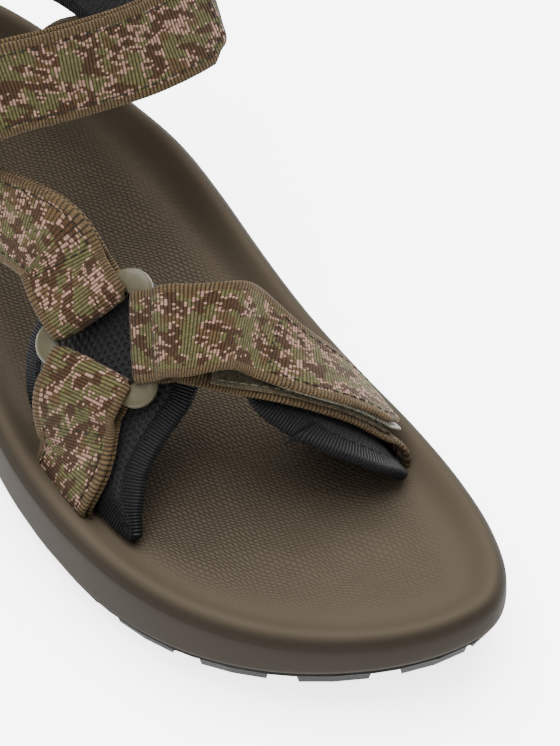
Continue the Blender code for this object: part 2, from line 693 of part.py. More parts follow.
def belt(name, a, ka, b, kb, mids, count, far_lead=None):
    """Doubled strap sewn into a loop round a bar of each of two rings."""
    path, out, across, run = from_ring(a, ka, mids, (b, kb), count, None, far_lead)
    gap = (spread(run) + spread(run[-1] - run) - HALF_GAP)[:, None]
    wa, widths_a = wrap(a, ka)
    wb, widths_b = wrap(b, kb)
    over, below = path + out * gap, path - out * gap
    va, vb = across[0], across[-1]
    pts = np.vstack([wa[1:-1], over[:], wb[::-1][1:-1], below[::-1]])
    ac = np.vstack([np.tile(va, (7, 1)), across, np.tile(vb, (7, 1)), across[::-1]])
    wd = np.concatenate([widths_a[1:-1], np.full(count, STRAP_W), widths_b[::-1][1:-1],
                         np.full(count, STRAP_W)])
    return ribbon(name, pts, ac, wd, STRAP_T, CAMO, closed=True)


def loop_to_slot(name, a, ka, slot, mids, count):
    """Doubled strap from a slot round a bar and back into the slot."""
    path, out, across, run = from_ring(a, ka, mids, slot, count)
    gap = spread(run)[:, None]
    wa, widths = wrap(a, ka)
    flat = slot.along * np.sign(np.dot(slot.along, across[-1]))
    tail = slot.tail(-HALF_GAP)[::-1]
    stop = slot.at(slot.base + 2.6 + STRAP_T, HALF_GAP)
    pts = np.vstack([tail, (path - out * gap)[::-1], wa[1:-1], path + out * gap, [stop]])
    ac = np.vstack([np.tile(flat, (len(tail), 1)), across[::-1], np.tile(across[0], (7, 1)), across,
                    [flat]])
    wd = np.concatenate([np.full(len(tail) + count, STRAP_W), widths[1:-1], np.full(count + 1, STRAP_W)])
    return ribbon(name, pts, ac, wd, STRAP_T, CAMO)


SEAT = STRAP_T / 2 + CLEAR + PILE_T + CLEAR + HOOK_T + 1.5 * CLEAR + STRAP_T / 2
HINGE = {}


def closure(prefix, frame, k, path, out, across, run, flap_l, pile, bow_l, tail=None, flat=None,
            rise=BOW_H, sway=0.0):
    """Strap up through a ring, its pile patch, and the flap that comes back over it with its hook patch."""
    dip = (WRAP_B * (1 - smooth(run, 3.5, 17.0)))[:, None]
    wa, widths = wrap(frame, k, 246.0)
    base = path - out * dip
    pts, ac = [wa[::-1][:-1], base], [np.tile(across[0], (8, 1)), across]
    if tail is not None:
        end = across[-1] if flat is None else flat * np.sign(np.dot(flat, across[-1]))
        pts.append(tail)
        ac.append(np.tile(end, (len(tail), 1)))
    wd = np.concatenate([widths[::-1][:-1], np.full(sum(map(len, pts)) - 8, STRAP_W)])
    ribbon(prefix + "_strap", np.vstack(pts), np.vstack(ac), wd, STRAP_T, CAMO)

    def layer(a, b, lift):
        """Samples from a to b along the strap, at its own stations, lifted off its centreline."""
        inside = run[(run > a + 0.8) & (run < b - 0.8)]
        at = np.concatenate([[a], inside, [b]])
        p = np.stack([np.interp(at, run, path[:, i]) for i in range(3)], axis=1)
        o = unit(np.stack([np.interp(at, run, out[:, i]) for i in range(3)], axis=1))
        c = unit(np.stack([np.interp(at, run, across[:, i]) for i in range(3)], axis=1))
        return p + o * np.broadcast_to(lift(at), len(at))[:, None], c, at

    def seat(at):
        """Height of the closed flap's centreline."""
        swell = rise * np.sin(np.pi * np.clip(at / bow_l, 0, 1)) ** 2
        return WRAP_B + (SEAT - WRAP_B) * smooth(at, 4.0, bow_l) + swell

    def aside(at):
        """How far the closed flap strays sideways from the strap under it."""
        return (sway * np.sin(np.pi * np.clip(at / (1.4 * bow_l), 0, 1)) ** 2)[:, None]
    p, c, at = layer(pile[0], pile[1], lambda d: STRAP_T / 2 + CLEAR + PILE_T / 2)
    ribbon(prefix + "_pile", p, c, STRAP_W - 1.5, PILE_T, PILE)
    p, c, at = layer(CLEAR, flap_l, seat)
    taper = np.minimum(STRAP_W, STRAP_W - 9.0 + 1.5 * (flap_l - at))
    ribbon(prefix + "_flap", p + c * aside(at), c, taper, STRAP_T, CAMO)
    drop = STRAP_T / 2 + 1.7 * CLEAR + HOOK_T / 2
    p, c, at = layer(bow_l, flap_l + 2.0, lambda d: seat(d) - drop)
    wide = np.minimum(STRAP_W - 3.0, STRAP_W - 8.0 + (flap_l + 2 - at))
    ribbon(prefix + "_hook", p + c * aside(at), c, wide, HOOK_T, HOOK)
    HINGE[prefix] = (frame.bar(k) + frame.n * WRAP_B, np.cross(frame.out(k), frame.n))


# forefoot: anchor loop, quarter strap, toe strap
slot_anchor = Slot("anchor", -40.0 * SY, -1, 2)
loop_to_slot("anchor_strap", fore, FORE_ANCHOR, slot_anchor, [on_foot(-38, -68, DOUBLE + 0.6)], 14)
quarter_mids = [on_foot(4, -34, DOUBLE + 2.6), over_foot(-28.0, 26.0, 68.0, (-0.8, -0.4, 0.45))]
belt("quarter_strap", fore, FORE_QUARTER, lat, LAT_QUARTER, quarter_mids, 22, tilted(-42.0))
slot_toe = Slot("toe", -74.0 * SY, 1, 1)
toe_mids = [on_foot(y, th, LAYER + 0.8) for y, th in ((-46.5, -2), (-57, 22), (-66, 46), (-71.5, 67))]
toe = from_ring(fore, FORE_TOE, toe_mids, slot_toe, 30)
closure("toe", fore, FORE_TOE, *toe, 73.0, (20.0, 70.0), 34.0, slot_toe.tail(), slot_toe.along,
        BOW_H + 1.0, TOE_SWAY)

# medial arch anchor
slot_arch = Slot("arch", 84.0 * SY, 1, 2)
arch_mids = [(slot_arch.at(slot_arch.top + 13.0, 0.9), slot_arch.out)]
loop_to_slot("arch_strap", med, MED_ARCH, slot_arch, arch_mids, 14)

# instep closure, medial ring over the instep to the lateral ring and back


def on_ankle(x, y, z, lean=30.0):
    """Control point round the front of the ankle, facing outwards and up by lean degrees."""
    flat = unit(np.array([x - 5.0, y - 62.0, 0.0]))
    a = math.radians(lean)
    return np.array([x * SX, y * SY, z]), flat * math.cos(a) + UP * math.sin(a)


ankle_mids = [on_ankle(*p) for p in (
    (-29.5, 39, 96, 12), (-22, 35, 100.5, 22), (-13, 32, 102.5), (-3, 29, 103), (8, 26.5, 103),
    (22, 24, 103), (38, 24.5, 102.5), (50, 29.5, 100.5, 20), (54, 38, 96, 10))]
ankle = from_ring(lat, LAT_ANKLE, ankle_mids, (med, MED_ANKLE), 36, tilted(36.0))


def closure_to_ring(prefix, frame, k, other, j, strap, flap_l, pile, bow_l):
    """As closure, the far end of the strap sewn into a loop round another ring's bar."""
    path, out, across, run = strap
    left = run[-1] - run
    path = path + out * (WRAP_B * (1 - smooth(left, 3.5, 17.0)))[:, None]
    wb, widths = wrap(other, j, 270.0)
    back = path - out * (2 * WRAP_B - (2 * WRAP_B - 2 * HALF_GAP) * smooth(left, 3.5, 15.0))[:, None]
    keep = (left < 12.0) & (left > 0.4)
    tail = np.vstack([wb[::-1][1:-1], back[keep][::-1]])
    closure(prefix, frame, k, path, out, across, run, flap_l, pile, bow_l, tail)


closure_to_ring("ankle", lat, LAT_ANKLE, med, MED_ANKLE, ankle, 92.0, (22.0, 92.0), 26.0)

# heel strap: lateral ring round the heel, through the medial ring and back on itself
HEEL_OUT = LAYER + STRAP_T + 5 * CLEAR


def on_collar(s, v, h):
    """Control point over the collar."""
    return collar(s, v, h), collar_out(s)


heel_mids = [on_collar(COLLAR_LEN * f, 0.0, HEEL_OUT) for f in np.linspace(0.74, 0.25, 15)]
heel = from_ring(med, MED_HEEL, heel_mids, (lat, LAT_HEEL), 44)
closure_to_ring("heel", med, MED_HEEL, lat, LAT_HEEL, heel, 62.0, (20.0, 66.0), 22.0)


def riser(name, y, side, share):
    """Strap from a heel slot up between the collar and the heel strap."""
    slot = Slot(name, y, side, 1, RISER_W)
    s = COLLAR_LEN * share
    pts = [collar(s, STRAP_W / 2 - 1.0, LAYER), collar(s, 0.0, LAYER),
           collar(s, -STRAP_W / 2, LAYER), collar(s, -STRAP_W / 2 - 7.0, LAYER + 0.8),
           slot.at(slot.top + 4.0), slot.at(slot.top - 1.0), slot.at(slot.base + 9.0), slot.at(slot.base + 5.5)]
    path, out, across, run = route(pts, [collar_out(s)] * 4 + [slot.out] * 4, 16)
    tail = slot.tail()
    flat = slot.along * np.sign(np.dot(slot.along, across[-1]))
    ribbon(name, np.vstack([path, tail]), np.vstack([across, np.tile(flat, (len(tail), 1))]),
           RISER_W, STRAP_T, CAMO)


riser("lateral_riser", 86.0 * SY, -1, 0.255)


# ---- pads and their bindings ---------------------------------------------------------------
def foot_page(page, h):
    return foot(page[:, 0], page[:, 1], h)


def collar_page(page, h):
    return collar(page[:, 0], page[:, 1], h)


def foot_loop(points, n):
    """Closed outline on the foot surface as a function of inset in millimetres."""
    page = spline(np.asarray(points, float) * [SY, 1.0], n, closed=True)

    def at(inset):
        e = 0.25
        dy = (foot_page(page + [e, 0], 0.0) - foot_page(page - [e, 0], 0.0)) / (2 * e)
        dt = (foot_page(page + [0, e], 0.0) - foot_page(page - [0, e], 0.0)) / (2 * e)
        turn = np.roll(page, -1, axis=0) - np.roll(page, 1, axis=0)
        along = unit(dy * turn[:, :1] + dt * turn[:, 1:])
        inward = np.cross(unit(np.cross(dy, dt)), along)
        mid = foot_page(page.mean(axis=0)[None], 0.0)
        here = foot_page(page, 0.0)
        if np.sum(inward * (mid - here)) < 0:
            inward = -inward
        g11, g12, g22 = np.sum(dy * dy, 1), np.sum(dy * dt, 1), np.sum(dt * dt, 1)
        b1, b2 = np.sum(dy * inward, 1) * inset, np.sum(dt * inward, 1) * inset
        det = g11 * g22 - g12 ** 2
        return page + np.stack([(g22 * b1 - g12 * b2) / det, (g11 * b2 - g12 * b1) / det], axis=1)
    return at


def collar_loop(n, margin, half):
    """Rounded rectangle on the collar, first point at the middle of its lateral end."""
    def at(inset):
        r = half - 4.0 - inset
        s0, s1, v = margin + inset, COLLAR_LEN - margin - inset, half - inset
        arc = np.radians(np.linspace(180, 90, 6))
        side = [(s0, 0.0), (s0, (v - r) * 0.999)]
        side += [(s0 + r + r * math.cos(a), v - r + r * math.sin(a)) for a in arc[1:]]
        count = n // 2 - 2 * len(side) + 1
        top = [(s, v) for s in np.linspace(s0 + r, s1 - r, count + 2)[1:-1]]
        upper = side + top + [(s0 + s1 - a, b) for a, b in side[::-1]]
        lower = [(a, -b) for a, b in upper[::-1][1:-1]]
        return np.array(upper + lower)
    return at


def padded(name, loop, place, q):
    """Pad with a thin sewn edge, and the folded tape over that edge."""
    low, high = CLEAR, CLEAR + PAD_T
    f0 = CLEAR + (PAD_T - EDGE_T) / 2
    f1 = f0 + EDGE_T
    step = BIND_W + CLEAR
    plate(name + "_pad", [(loop(step), low), (loop(step), f0), (loop(0.0), f0), (loop(0.0), f1),
                          (loop(step), f1), (loop(step), high)], q, place, MESH)
    wall = (PAD_T - EDGE_T) / 2 - CLEAR
    outline8 = [(BIND_W, high), (-BIND_OUT, high), (-BIND_OUT, low), (BIND_W, low), (BIND_W, low + wall),
                (-CLEAR, low + wall), (-CLEAR, high - wall), (BIND_W, high - wall)]
    rings = np.stack([place(loop(e), h) for e, h in outline8], axis=1)
    other = [outline8[j][0] < outline8[(j + 1) % 8][0] for j in range(8)]
    sweep(name + "_binding", rings, TAPE, closed=True, other=other)


LATERAL_PAD = [(-65, -79), (-60, -65), (-55, -54), (-52, -42), (-49, -28), (-43, -18), (-32, -13), (-20, -16),
               (-11, -26), (-5, -41), (-4, -55), (-6, -67), (-13, -77), (-28, -80), (-46, -80), (-58, -81)]
MEDIAL_PAD = [(-88, 77), (-90, 62), (-89.5, 46), (-87, 33), (-83, 20), (-78, 8), (-71, -4), (-62, -9),
              (-53, -5), (-47, 8), (-46, 24), (-48, 40), (-52, 56), (-58, 69), (-66, 77), (-77, 80)]
padded("lateral", foot_loop(LATERAL_PAD, 40), foot_page, 5)
padded("medial", foot_loop(MEDIAL_PAD, 36), foot_page, 5)
padded("collar", collar_loop(64, 1.0, COLLAR_H / 2), collar_page, 3)

# ---- put the whole sandal over the origin, standing on its lugs ----------------------------
bpy.context.view_layer.update()
spots = np.vstack([np.array([v.co[:] for v in obj.data.vertices]) for obj in MADE])
shift = -np.array([spots[:, 0].min() + spots[:, 0].max(), spots[:, 1].min() + spots[:, 1].max(), 0.0]) / 2
shift[2] = -spots[:, 2].min()
for obj in bpy.data.objects:
    for v in obj.data.vertices:
        v.co.x += shift[0]
        v.co.y += shift[1]
        v.co.z += shift[2]
    obj.data.update()
HINGES = {k: ((p * 0.001 + shift).tolist(), a.tolist()) for k, (p, a) in HINGE.items()}

# moving flaps turn about their folds: each has its origin there
for prefix, (spot, axis) in HINGES.items():
    for end in ("_flap", "_hook"):
        obj = bpy.data.objects[prefix + end]
        for v in obj.data.vertices:
            v.co.x -= spot[0]
            v.co.y -= spot[1]
            v.co.z -= spot[2]
        obj.location = spot
        obj.data.update()
    print("hinge", prefix, [round(c, 5) for c in spot], [round(c, 5) for c in axis])
print("shift", [round(float(c), 6) for c in shift])
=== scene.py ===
"""Strappy sport sandal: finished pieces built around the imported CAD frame."""
import math

import bpy
import numpy as np
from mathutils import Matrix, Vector


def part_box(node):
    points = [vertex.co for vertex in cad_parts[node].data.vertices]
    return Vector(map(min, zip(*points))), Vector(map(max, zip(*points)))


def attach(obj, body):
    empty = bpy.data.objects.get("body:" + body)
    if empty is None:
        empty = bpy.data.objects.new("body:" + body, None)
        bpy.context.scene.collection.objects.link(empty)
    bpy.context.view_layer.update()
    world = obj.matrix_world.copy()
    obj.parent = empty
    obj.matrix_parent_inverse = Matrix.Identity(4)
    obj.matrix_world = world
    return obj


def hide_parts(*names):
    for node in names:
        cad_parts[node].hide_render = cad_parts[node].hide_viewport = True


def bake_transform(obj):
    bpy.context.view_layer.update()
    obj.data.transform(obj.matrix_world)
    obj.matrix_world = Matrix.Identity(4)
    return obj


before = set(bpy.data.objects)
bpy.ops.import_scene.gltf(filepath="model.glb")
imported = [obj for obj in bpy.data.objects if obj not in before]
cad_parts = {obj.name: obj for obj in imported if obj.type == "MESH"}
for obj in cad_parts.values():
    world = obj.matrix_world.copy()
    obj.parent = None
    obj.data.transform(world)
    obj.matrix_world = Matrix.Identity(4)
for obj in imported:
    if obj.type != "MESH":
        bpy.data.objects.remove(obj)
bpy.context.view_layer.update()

bl_info = {
    "name": "Sport sandal",
    "version": (1, 0, 0),
    "blender": (4, 5, 0),
    "location": "View3D > Sidebar > Sandal",
    "description": "Builds a webbing sandal: footbed, straps, rings, pads, stitching and stage",
    "category": "Add Mesh",
}

# ---- sizes taken from the frame, in millimetres --------------------------------------------
MM = 0.001
SOLE_LOW, SOLE_HIGH = (np.array(c, float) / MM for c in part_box("midsole"))
LENGTH = float(SOLE_HIGH[1] - SOLE_LOW[1])
WIDTH = float(SOLE_HIGH[0] - SOLE_LOW[0]) * 102.0 / 102.3      # named width to widest point
CLEAR = 0.3                                                    # gap between neighbours
LUG_H, PLATE_T = 4.0, 2.0                                      # outsole
FORE_THICK, HEEL_THICK = 14.0, 21.0                            # footbed over the outsole
RIM_H, ARCH_RISE, HEEL_CUP, RIM_W = 6.5, 6.0, 5.0, 9.0
TOE_THIN, TOE_SPRING, HEEL_SPRING, RIM_FALL = 5.5, 13.5, 3.0, 2.5
STRAP_W, STRAP_T, RISER_W = 25.0, 1.8, 19.0                    # webbing
PILE_T, HOOK_T = 1.3, 1.1                                      # closure patches
BOW_H, TOE_SWAY = 6.0, 4.0                                     # flap's bow and sideways stray
RING_SIDE, RING_BEND, BAR_W, BAR_T = 39.0, 4.0, 5.0, 3.8
PAD_T, BIND_W, BIND_OUT = 3.0, 5.0, 1.0
COLLAR_H, BALL_H, INSTEP_H, STRAP_Z = 36.0, 27.0, 63.0, 84.0
SX, SY = WIDTH / 102.0, LENGTH / 284.0
UP = np.array([0, 0, 1.0])


# ---- curves --------------------------------------------------------------------------------
def unit(v):
    """Vectors divided by their own length, along the last axis."""
    v = np.asarray(v, float)
    return v / np.maximum(np.linalg.norm(v, axis=-1, keepdims=True), 1e-12)


def smooth(x, a, b):
    """3t^2 - 2t^3 where t goes from 0 at a to 1 at b."""
    t = np.clip((np.asarray(x, float) - a) / (b - a), 0, 1)
    return t * t * (3 - 2 * t)


def length_along(path):
    """Running length of a polyline."""
    return np.concatenate([[0], np.cumsum(np.linalg.norm(np.diff(path, axis=0), axis=1))])


def along(path, run, at):
    """Values of path at the given running lengths."""
    return np.stack([np.interp(at, run, path[:, k]) for k in range(path.shape[1])], axis=-1)


def spline(points, count, closed=False):
    """Centripetal Catmull-Rom curve: each span blends its four points by knots at root-chord spacing."""
    p = np.asarray(points, float)
    if closed:
        p = np.vstack([p[-2:], p, p[:3]])
    else:
        p = np.vstack([2 * p[0] - p[1], p, 2 * p[-1] - p[-2]])
    knot = np.concatenate([[0], np.cumsum(np.sqrt(np.linalg.norm(np.diff(p, axis=0), axis=1)))])
    out = []
    for i in range(2, len(p) - 3) if closed else range(1, len(p) - 2):
        t0, t1, t2, t3 = knot[i - 1:i + 3]
        t = np.linspace(t1, t2, 24, endpoint=False)[:, None]
        a1 = (t1 - t) / (t1 - t0) * p[i - 1] + (t - t0) / (t1 - t0) * p[i]
        a2 = (t2 - t) / (t2 - t1) * p[i] + (t - t1) / (t2 - t1) * p[i + 1]
        a3 = (t3 - t) / (t3 - t2) * p[i + 1] + (t - t2) / (t3 - t2) * p[i + 2]
        b1 = (t2 - t) / (t2 - t0) * a1 + (t - t0) / (t2 - t0) * a2
        b2 = (t3 - t) / (t3 - t1) * a2 + (t - t1) / (t3 - t1) * a3
        out.append((t2 - t) / (t2 - t1) * b1 + (t - t1) / (t2 - t1) * b2)
    out = np.vstack(out + [p[2:3] if closed else p[-2:-1]])
    run = length_along(out)
    at = np.linspace(0, run[-1], count + 1)[:-1] if closed else np.linspace(0, run[-1], count)
    return along(out, run, at)


# ---- sole surfaces -------------------------------------------------------------------------
NOMINAL = np.array([
    (17, -138.5), (2, -134.5), (-13, -126), (-27, -114), (-38, -100), (-46, -85), (-51.5, -67), (-54, -47),
    (-54, -26), (-51.5, -6), (-48, 14), (-45, 36), (-43, 60), (-42, 84), (-39.5, 105), (-33, 123),
    (-20, 137), (-2, 142), (16, 138), (29, 127), (37, 110), (41.5, 88), (44.5, 66), (46.5, 44),
    (46.5, 22), (46, 0), (46, -25), (47, -50), (48, -75), (47, -98), (43.5, -116), (37, -130),
    (28, -137.5)], float)
EDGE = spline(NOMINAL * [SX, SY], 720, closed=True)
EDGE[:, 1] += -0.5 * (EDGE[:, 1].max() + EDGE[:, 1].min())
EDGE[:, 1] *= LENGTH / np.ptp(EDGE[:, 1])
EDGE = np.roll(EDGE, -int(np.argmin(EDGE[:, 1])), axis=0)
_tangent = unit(np.roll(EDGE, -3, axis=0) - np.roll(EDGE, 3, axis=0))
EDGE_OUT = np.stack([-_tangent[:, 1], _tangent[:, 0]], axis=1)
if np.mean(np.sum(EDGE_OUT * (EDGE - [-3.0, 0.0]), axis=1)) < 0:
    EDGE_OUT = -EDGE_OUT
HEEL_AT = int(np.argmax(EDGE[:, 1]))
SHIFT = np.array([0.5 * (SOLE_LOW[0] + SOLE_HIGH[0]) - 0.5 * (EDGE[:, 0].min() + EDGE[:, 0].max()), 0.0, 0.0])


def outline(inset, count):
    """The sole's outline moved inwards, count points, toe tip first and heel tip halfway."""
    ring = EDGE - EDGE_OUT * inset
    ring = np.vstack([ring, ring[:1]])
    half = count // 2
    k = np.concatenate([np.linspace(0, HEEL_AT, half, endpoint=False),
                        np.linspace(HEEL_AT, len(EDGE), half, endpoint=False)])
    return along(ring, np.arange(len(ring)), k)


def side_x(y, side, inset):
    """X of the inset outline at a place along the foot; side -1 lateral, +1 medial."""
    ring = EDGE - EDGE_OUT * inset
    half = ring[:HEEL_AT + 1] if ring[HEEL_AT // 2, 0] * side > 0 else ring[HEEL_AT:][::-1]
    order = np.argsort(half[:, 1])
    return np.interp(y, half[order, 1], half[order, 0])


def side_dir(y, side, inset):
    """Direction along the inset outline, towards the heel."""
    a, b = side_x(y - 4, side, inset), side_x(y + 4, side, inset)
    return unit(np.array([b - a, 8.0, 0.0]))


def under(y):
    """Underside of the midsole: level, rising as a parabola at the toe and the heel."""
    y = np.asarray(y, float)
    toe = np.clip((-0.20 * LENGTH - y) / (0.30 * LENGTH), 0, 1)
    heel = np.clip((y - 0.38 * LENGTH) / (0.12 * LENGTH), 0, 1)
    return LUG_H + PLATE_T + CLEAR + TOE_SPRING * toe ** 2 + HEEL_SPRING * heel ** 2


def thickness(y):
    """Footbed over the outsole: eased from fore to heel, thinner at the toe."""
    toe = np.clip((-0.22 * LENGTH - y) / (0.28 * LENGTH), 0, 1)
    heel = smooth(y, -0.2 * LENGTH, 0.25 * LENGTH)
    return FORE_THICK + (HEEL_THICK - FORE_THICK) * heel - TOE_THIN * toe ** 1.5


def bed(x, y):
    """Footbed surface: underside plus thickness plus a shallow dish across."""
    y = np.asarray(y, float)
    return under(y) + thickness(y) + 2.0 * ((np.asarray(x) + 3 * SX) / (0.5 * WIDTH)) ** 2


def rim(x, y):
    """Crest of the rim: footbed plus rim height, raised at the arch and heel and lower at the toe."""
    x, y = np.asarray(x, float), np.asarray(y, float)
    arch = ARCH_RISE * np.exp(-((y - 0.12 * LENGTH) / (0.15 * LENGTH)) ** 2) * smooth(x, -30 * SX, 30 * SX)
    cup = HEEL_CUP * smooth(y, 0.2 * LENGTH, 0.45 * LENGTH)
    fall = RIM_FALL * smooth(-y, 0.25 * LENGTH, 0.48 * LENGTH)
    return under(y) + thickness(y) + RIM_H + arch + cup - fall


# ---- the foot's surface, which straps and pads lie over -------------------------------------
LAYER = PAD_T + 2 * CLEAR + STRAP_T / 2
SLOT_IN = RIM_W + 1.2


def foot(y, th, h=0.0):
    """Superellipse arch across the foot at each y, angle th from lateral to medial, h outwards."""
    y, th = np.broadcast_arrays(np.asarray(y, float), np.asarray(th, float))

    def raw(yy, tt):
        """Surface point: the ridge's x and the two sides' own powers give the superellipse."""
        f = yy / SY
        room = BALL_H + (INSTEP_H - BALL_H) * np.interp(
            f, [-142, -100, -60, -25, 5, 25, 45, 60, 80],
            [-0.5, -0.3, 0.0, 0.34, 0.72, 1.0, 1.28, 1.5, 1.7])
        ridge = np.interp(f, [-142, -60, 0, 60], [14, 8, 4, 2]) * SX
        lo = side_x(yy, -1, SLOT_IN) + LAYER
        hi = side_x(yy, 1, SLOT_IN) - LAYER
        lat_p = np.interp(f, [-80, -20, 20, 60], [1.45, 1.45, 1.9, 2.8])
        med_p = np.interp(f, [-80, -20, 20, 60], [1.6, 1.7, 2.1, 2.8])
        a = np.radians(np.clip(tt, -90, 90))
        s, c = np.abs(np.sin(a)), np.abs(np.cos(a))
        p = np.where(tt < 0, lat_p, med_p)
        x = ridge + np.where(tt < 0, lo - ridge, hi - ridge) * s ** (2 / p)
        return np.stack([x, yy, bed(ridge, yy) + room * c ** (2 / p)], axis=-1)
    at = raw(y, th)
    e = 0.5
    dy = raw(y + e, th) - raw(y - e, th)
    dt = raw(y, np.clip(th + e, -89.9, 89.9)) - raw(y, np.clip(th - e, -89.9, 89.9))
    n = unit(np.cross(unit(dt), unit(dy)))
    n = np.where(n[..., 2:] < -0.2, -n, n)
    return at + n * np.asarray(h)[..., None] if np.ndim(h) else at + n * h


def normal_at(y, th):
    """Outward direction of the foot's surface."""
    return unit(foot(y, th, 1.0) - foot(y, th, 0.0))


# ---- heel collar surface -------------------------------------------------------------------
COLLAR_PLAN = np.array([(-24.5, 40), (-28, 52), (-31, 68), (-31.5, 88), (-22, 108), (-2.5, 117),
                        (18, 108), (31, 88), (35, 68), (36, 52), (35, 40)], float) * [SX, SY]
COLLAR_LINE = spline(COLLAR_PLAN, 240)
COLLAR_RUN = length_along(COLLAR_LINE)
COLLAR_LEN = COLLAR_RUN[-1]
COLLAR_TAN = unit(np.gradient(COLLAR_LINE, axis=0))


def collar(s, v, h):
    """The collar's line at length s, raised v from the strap's height and moved h outwards."""
    s, v = np.broadcast_arrays(np.asarray(s, float), np.asarray(v, float))
    p = along(COLLAR_LINE, COLLAR_RUN, s)
    t = unit(along(COLLAR_TAN, COLLAR_RUN, s))
    return np.stack([p[..., 0] - h * t[..., 1], p[..., 1] + h * t[..., 0], STRAP_Z + v], axis=-1)


def collar_out(s):
    """Outward direction of the collar."""
    return unit(collar(s, 0.0, 1.0) - collar(s, 0.0, 0.0))


# ---- rings ---------------------------------------------------------------------------------
APOTHEM = RING_SIDE / (2 * math.sqrt(3))
WRAP_A = BAR_W / 2 + CLEAR + STRAP_T / 2
WRAP_B = BAR_T / 2 + CLEAR + STRAP_T / 2
RING_LIFT = 5 * CLEAR + PAD_T + STRAP_T + BAR_T / 2 + 0.6
HALF_GAP = (STRAP_T + CLEAR) / 2
DOUBLE = PAD_T + 2 * CLEAR + STRAP_T + CLEAR / 2


class Ring:
    """A triangular ring's place: centre, normal and the outward direction of its first bar."""

    def __init__(self, centre, normal, first):
        self.c, self.n = np.asarray(centre, float), unit(normal)
        self.e = unit(first - self.n * np.dot(first, self.n))

    def out(self, k):
        """Outward direction of bar k: the first, turned by k thirds of a turn."""
        a = math.radians(120 * k)
        return self.e * math.cos(a) + np.cross(self.n, self.e) * math.sin(a)

    def bar(self, k):
        """Middle of bar k."""
        return self.c + self.out(k) * APOTHEM


def page_dir(n, degrees):
    """Direction in the plane with normal n, turned from +X towards +Y."""
    e1 = unit(np.array([1.0, 0, 0]) - n * n[0])
    return e1 * math.cos(math.radians(degrees)) + np.cross(n, e1) * math.sin(math.radians(degrees))


def tilted(degrees):
    """Direction in an upright plane, from forwards towards up."""
    a = math.radians(degrees)
    return np.array([0, -math.cos(a), math.sin(a)])


LAT_S, MED_S = 15.0 * SY, 20.0 * SY
FORE = (-24.0 * SY, -36.0)
_n = normal_at(*FORE)
RINGS = {
    "forefoot_ring": Ring(foot(*FORE) + _n * RING_LIFT, _n, page_dir(_n, -30.0)),
    "lateral_ankle_ring": Ring(collar(LAT_S, -4.0, RING_LIFT), collar_out(LAT_S), tilted(-58.0)),
    "medial_ankle_ring": Ring(collar(COLLAR_LEN - MED_S, -1.0, RING_LIFT), collar_out(COLLAR_LEN - MED_S),
                              tilted(-82.0)),
}
FORE_RING, LAT_RING, MED_RING = RINGS.values()
LAT_HEEL, LAT_ANKLE = sorted((1, 2), key=lambda k: LAT_RING.out(k)[2])
MED_HEEL, MED_ANKLE = sorted((1, 2), key=lambda k: MED_RING.out(k)[2])


# ---- strap routes --------------------------------------------------------------------------
STEP = 0.24          # spacing of sections along the webbing


def route(points, normals):
    """Curve through points with its outward directions, resampled at the section spacing."""
    both = np.hstack([np.asarray(points, float), 0.001 * unit(np.asarray(normals, float))])
    rough = spline(both, 160)
    count = int(length_along(rough[:, :3])[-1] / STEP) + 2
    both = spline(both, count)
    path, out = both[:, :3], unit(both[:, 3:])
    across = unit(np.cross(out, unit(np.gradient(path, axis=0))))
    ahead = unit(np.gradient(path, axis=0))
    return path, np.cross(ahead, across), across, length_along(path)


def wrap(ring, k, upto=270.0, count=40):
    """Half ellipse round bar k from under it to over it, and the widths that fit inside the ring."""
    a = np.radians(-np.linspace(90, upto, count))
    r, h = APOTHEM + WRAP_A * np.cos(a), WRAP_B * np.sin(a)
    path = ring.c + np.outer(r, ring.out(k)) + np.outer(h, ring.n)
    inner = r - STRAP_T / 2 * np.abs(np.cos(a)) - 2 * CLEAR
    return path, np.minimum(STRAP_W, 2 * math.sqrt(3) * inner)


class Slot:
    """Where a strap passes down through the footbed beside the rim."""

    def __init__(self, y, side, layers, wide=STRAP_W):
        inset = SLOT_IN - (DOUBLE - LAYER if layers == 2 else 0)
        self.y, self.x = y, float(side_x(y, side, inset))
        self.along = side_dir(y, side, inset)
        self.out = unit(np.array([self.along[1], -self.along[0], 0.0]) * side)
        self.base = max(float(under(y + d * wide / 2)) for d in (-1.1, 1.1))
        self.top = float(bed(self.x, y))

    def at(self, z, h=0.0):
        """Point in the slot at height z, h outwards of its centre."""
        return np.array([self.x, self.y, z]) + self.out * h


PARTING = 3.5, 17.0  # a strap leaves its bar's height between these distances from the bar


def spread(run):
    """Half distance between a doubled strap's layers, wider at the bar it turns round."""
    return HALF_GAP + (WRAP_B - HALF_GAP) * (1 - smooth(run, *PARTING))


def lead_dir(ring, k, lead):
    """Direction in which a strap leaves bar k: square to it, or skewed."""
    return ring.out(k) if lead is None else unit(lead - ring.n * np.dot(lead, ring.n))


def from_ring(ring, k, mids, end, lead=None, far_lead=None):
    """Route from a bar over control points to a slot or to another bar."""
    pts = [ring.bar(k) + lead_dir(ring, k, lead) * d for d in (0.0, 4.0, 8.0)]
    nor = [ring.n] * 3
    for m in mids:
        pts.append(m[0])
        nor.append(m[1])
    if isinstance(end, Slot):
        pts += [end.at(z) for z in (end.top + 3.0, end.top - 1.0, end.base + 9.0, end.base + 5.5)]
        nor += [end.out] * 4
    else:
        other, j = end
        pts += [other.bar(j) + lead_dir(other, j, far_lead) * d for d in (8.0, 4.0, 0.0)]
        nor += [other.n] * 3
    path, out, across, run = route(pts, nor)
    ends = [(ring, k, run, 0)] + ([] if isinstance(end, Slot) else [(end[0], end[1], run[-1] - run, -1)])
    for r, j, away, i in ends:
        ease = smooth(away, 0.0, 18.0)[:, None]
        bar = np.cross(r.n, r.out(j))
        across = unit(bar * np.sign(np.dot(bar, across[i])) * (1 - ease) + across * ease)
    return path, out, across, run


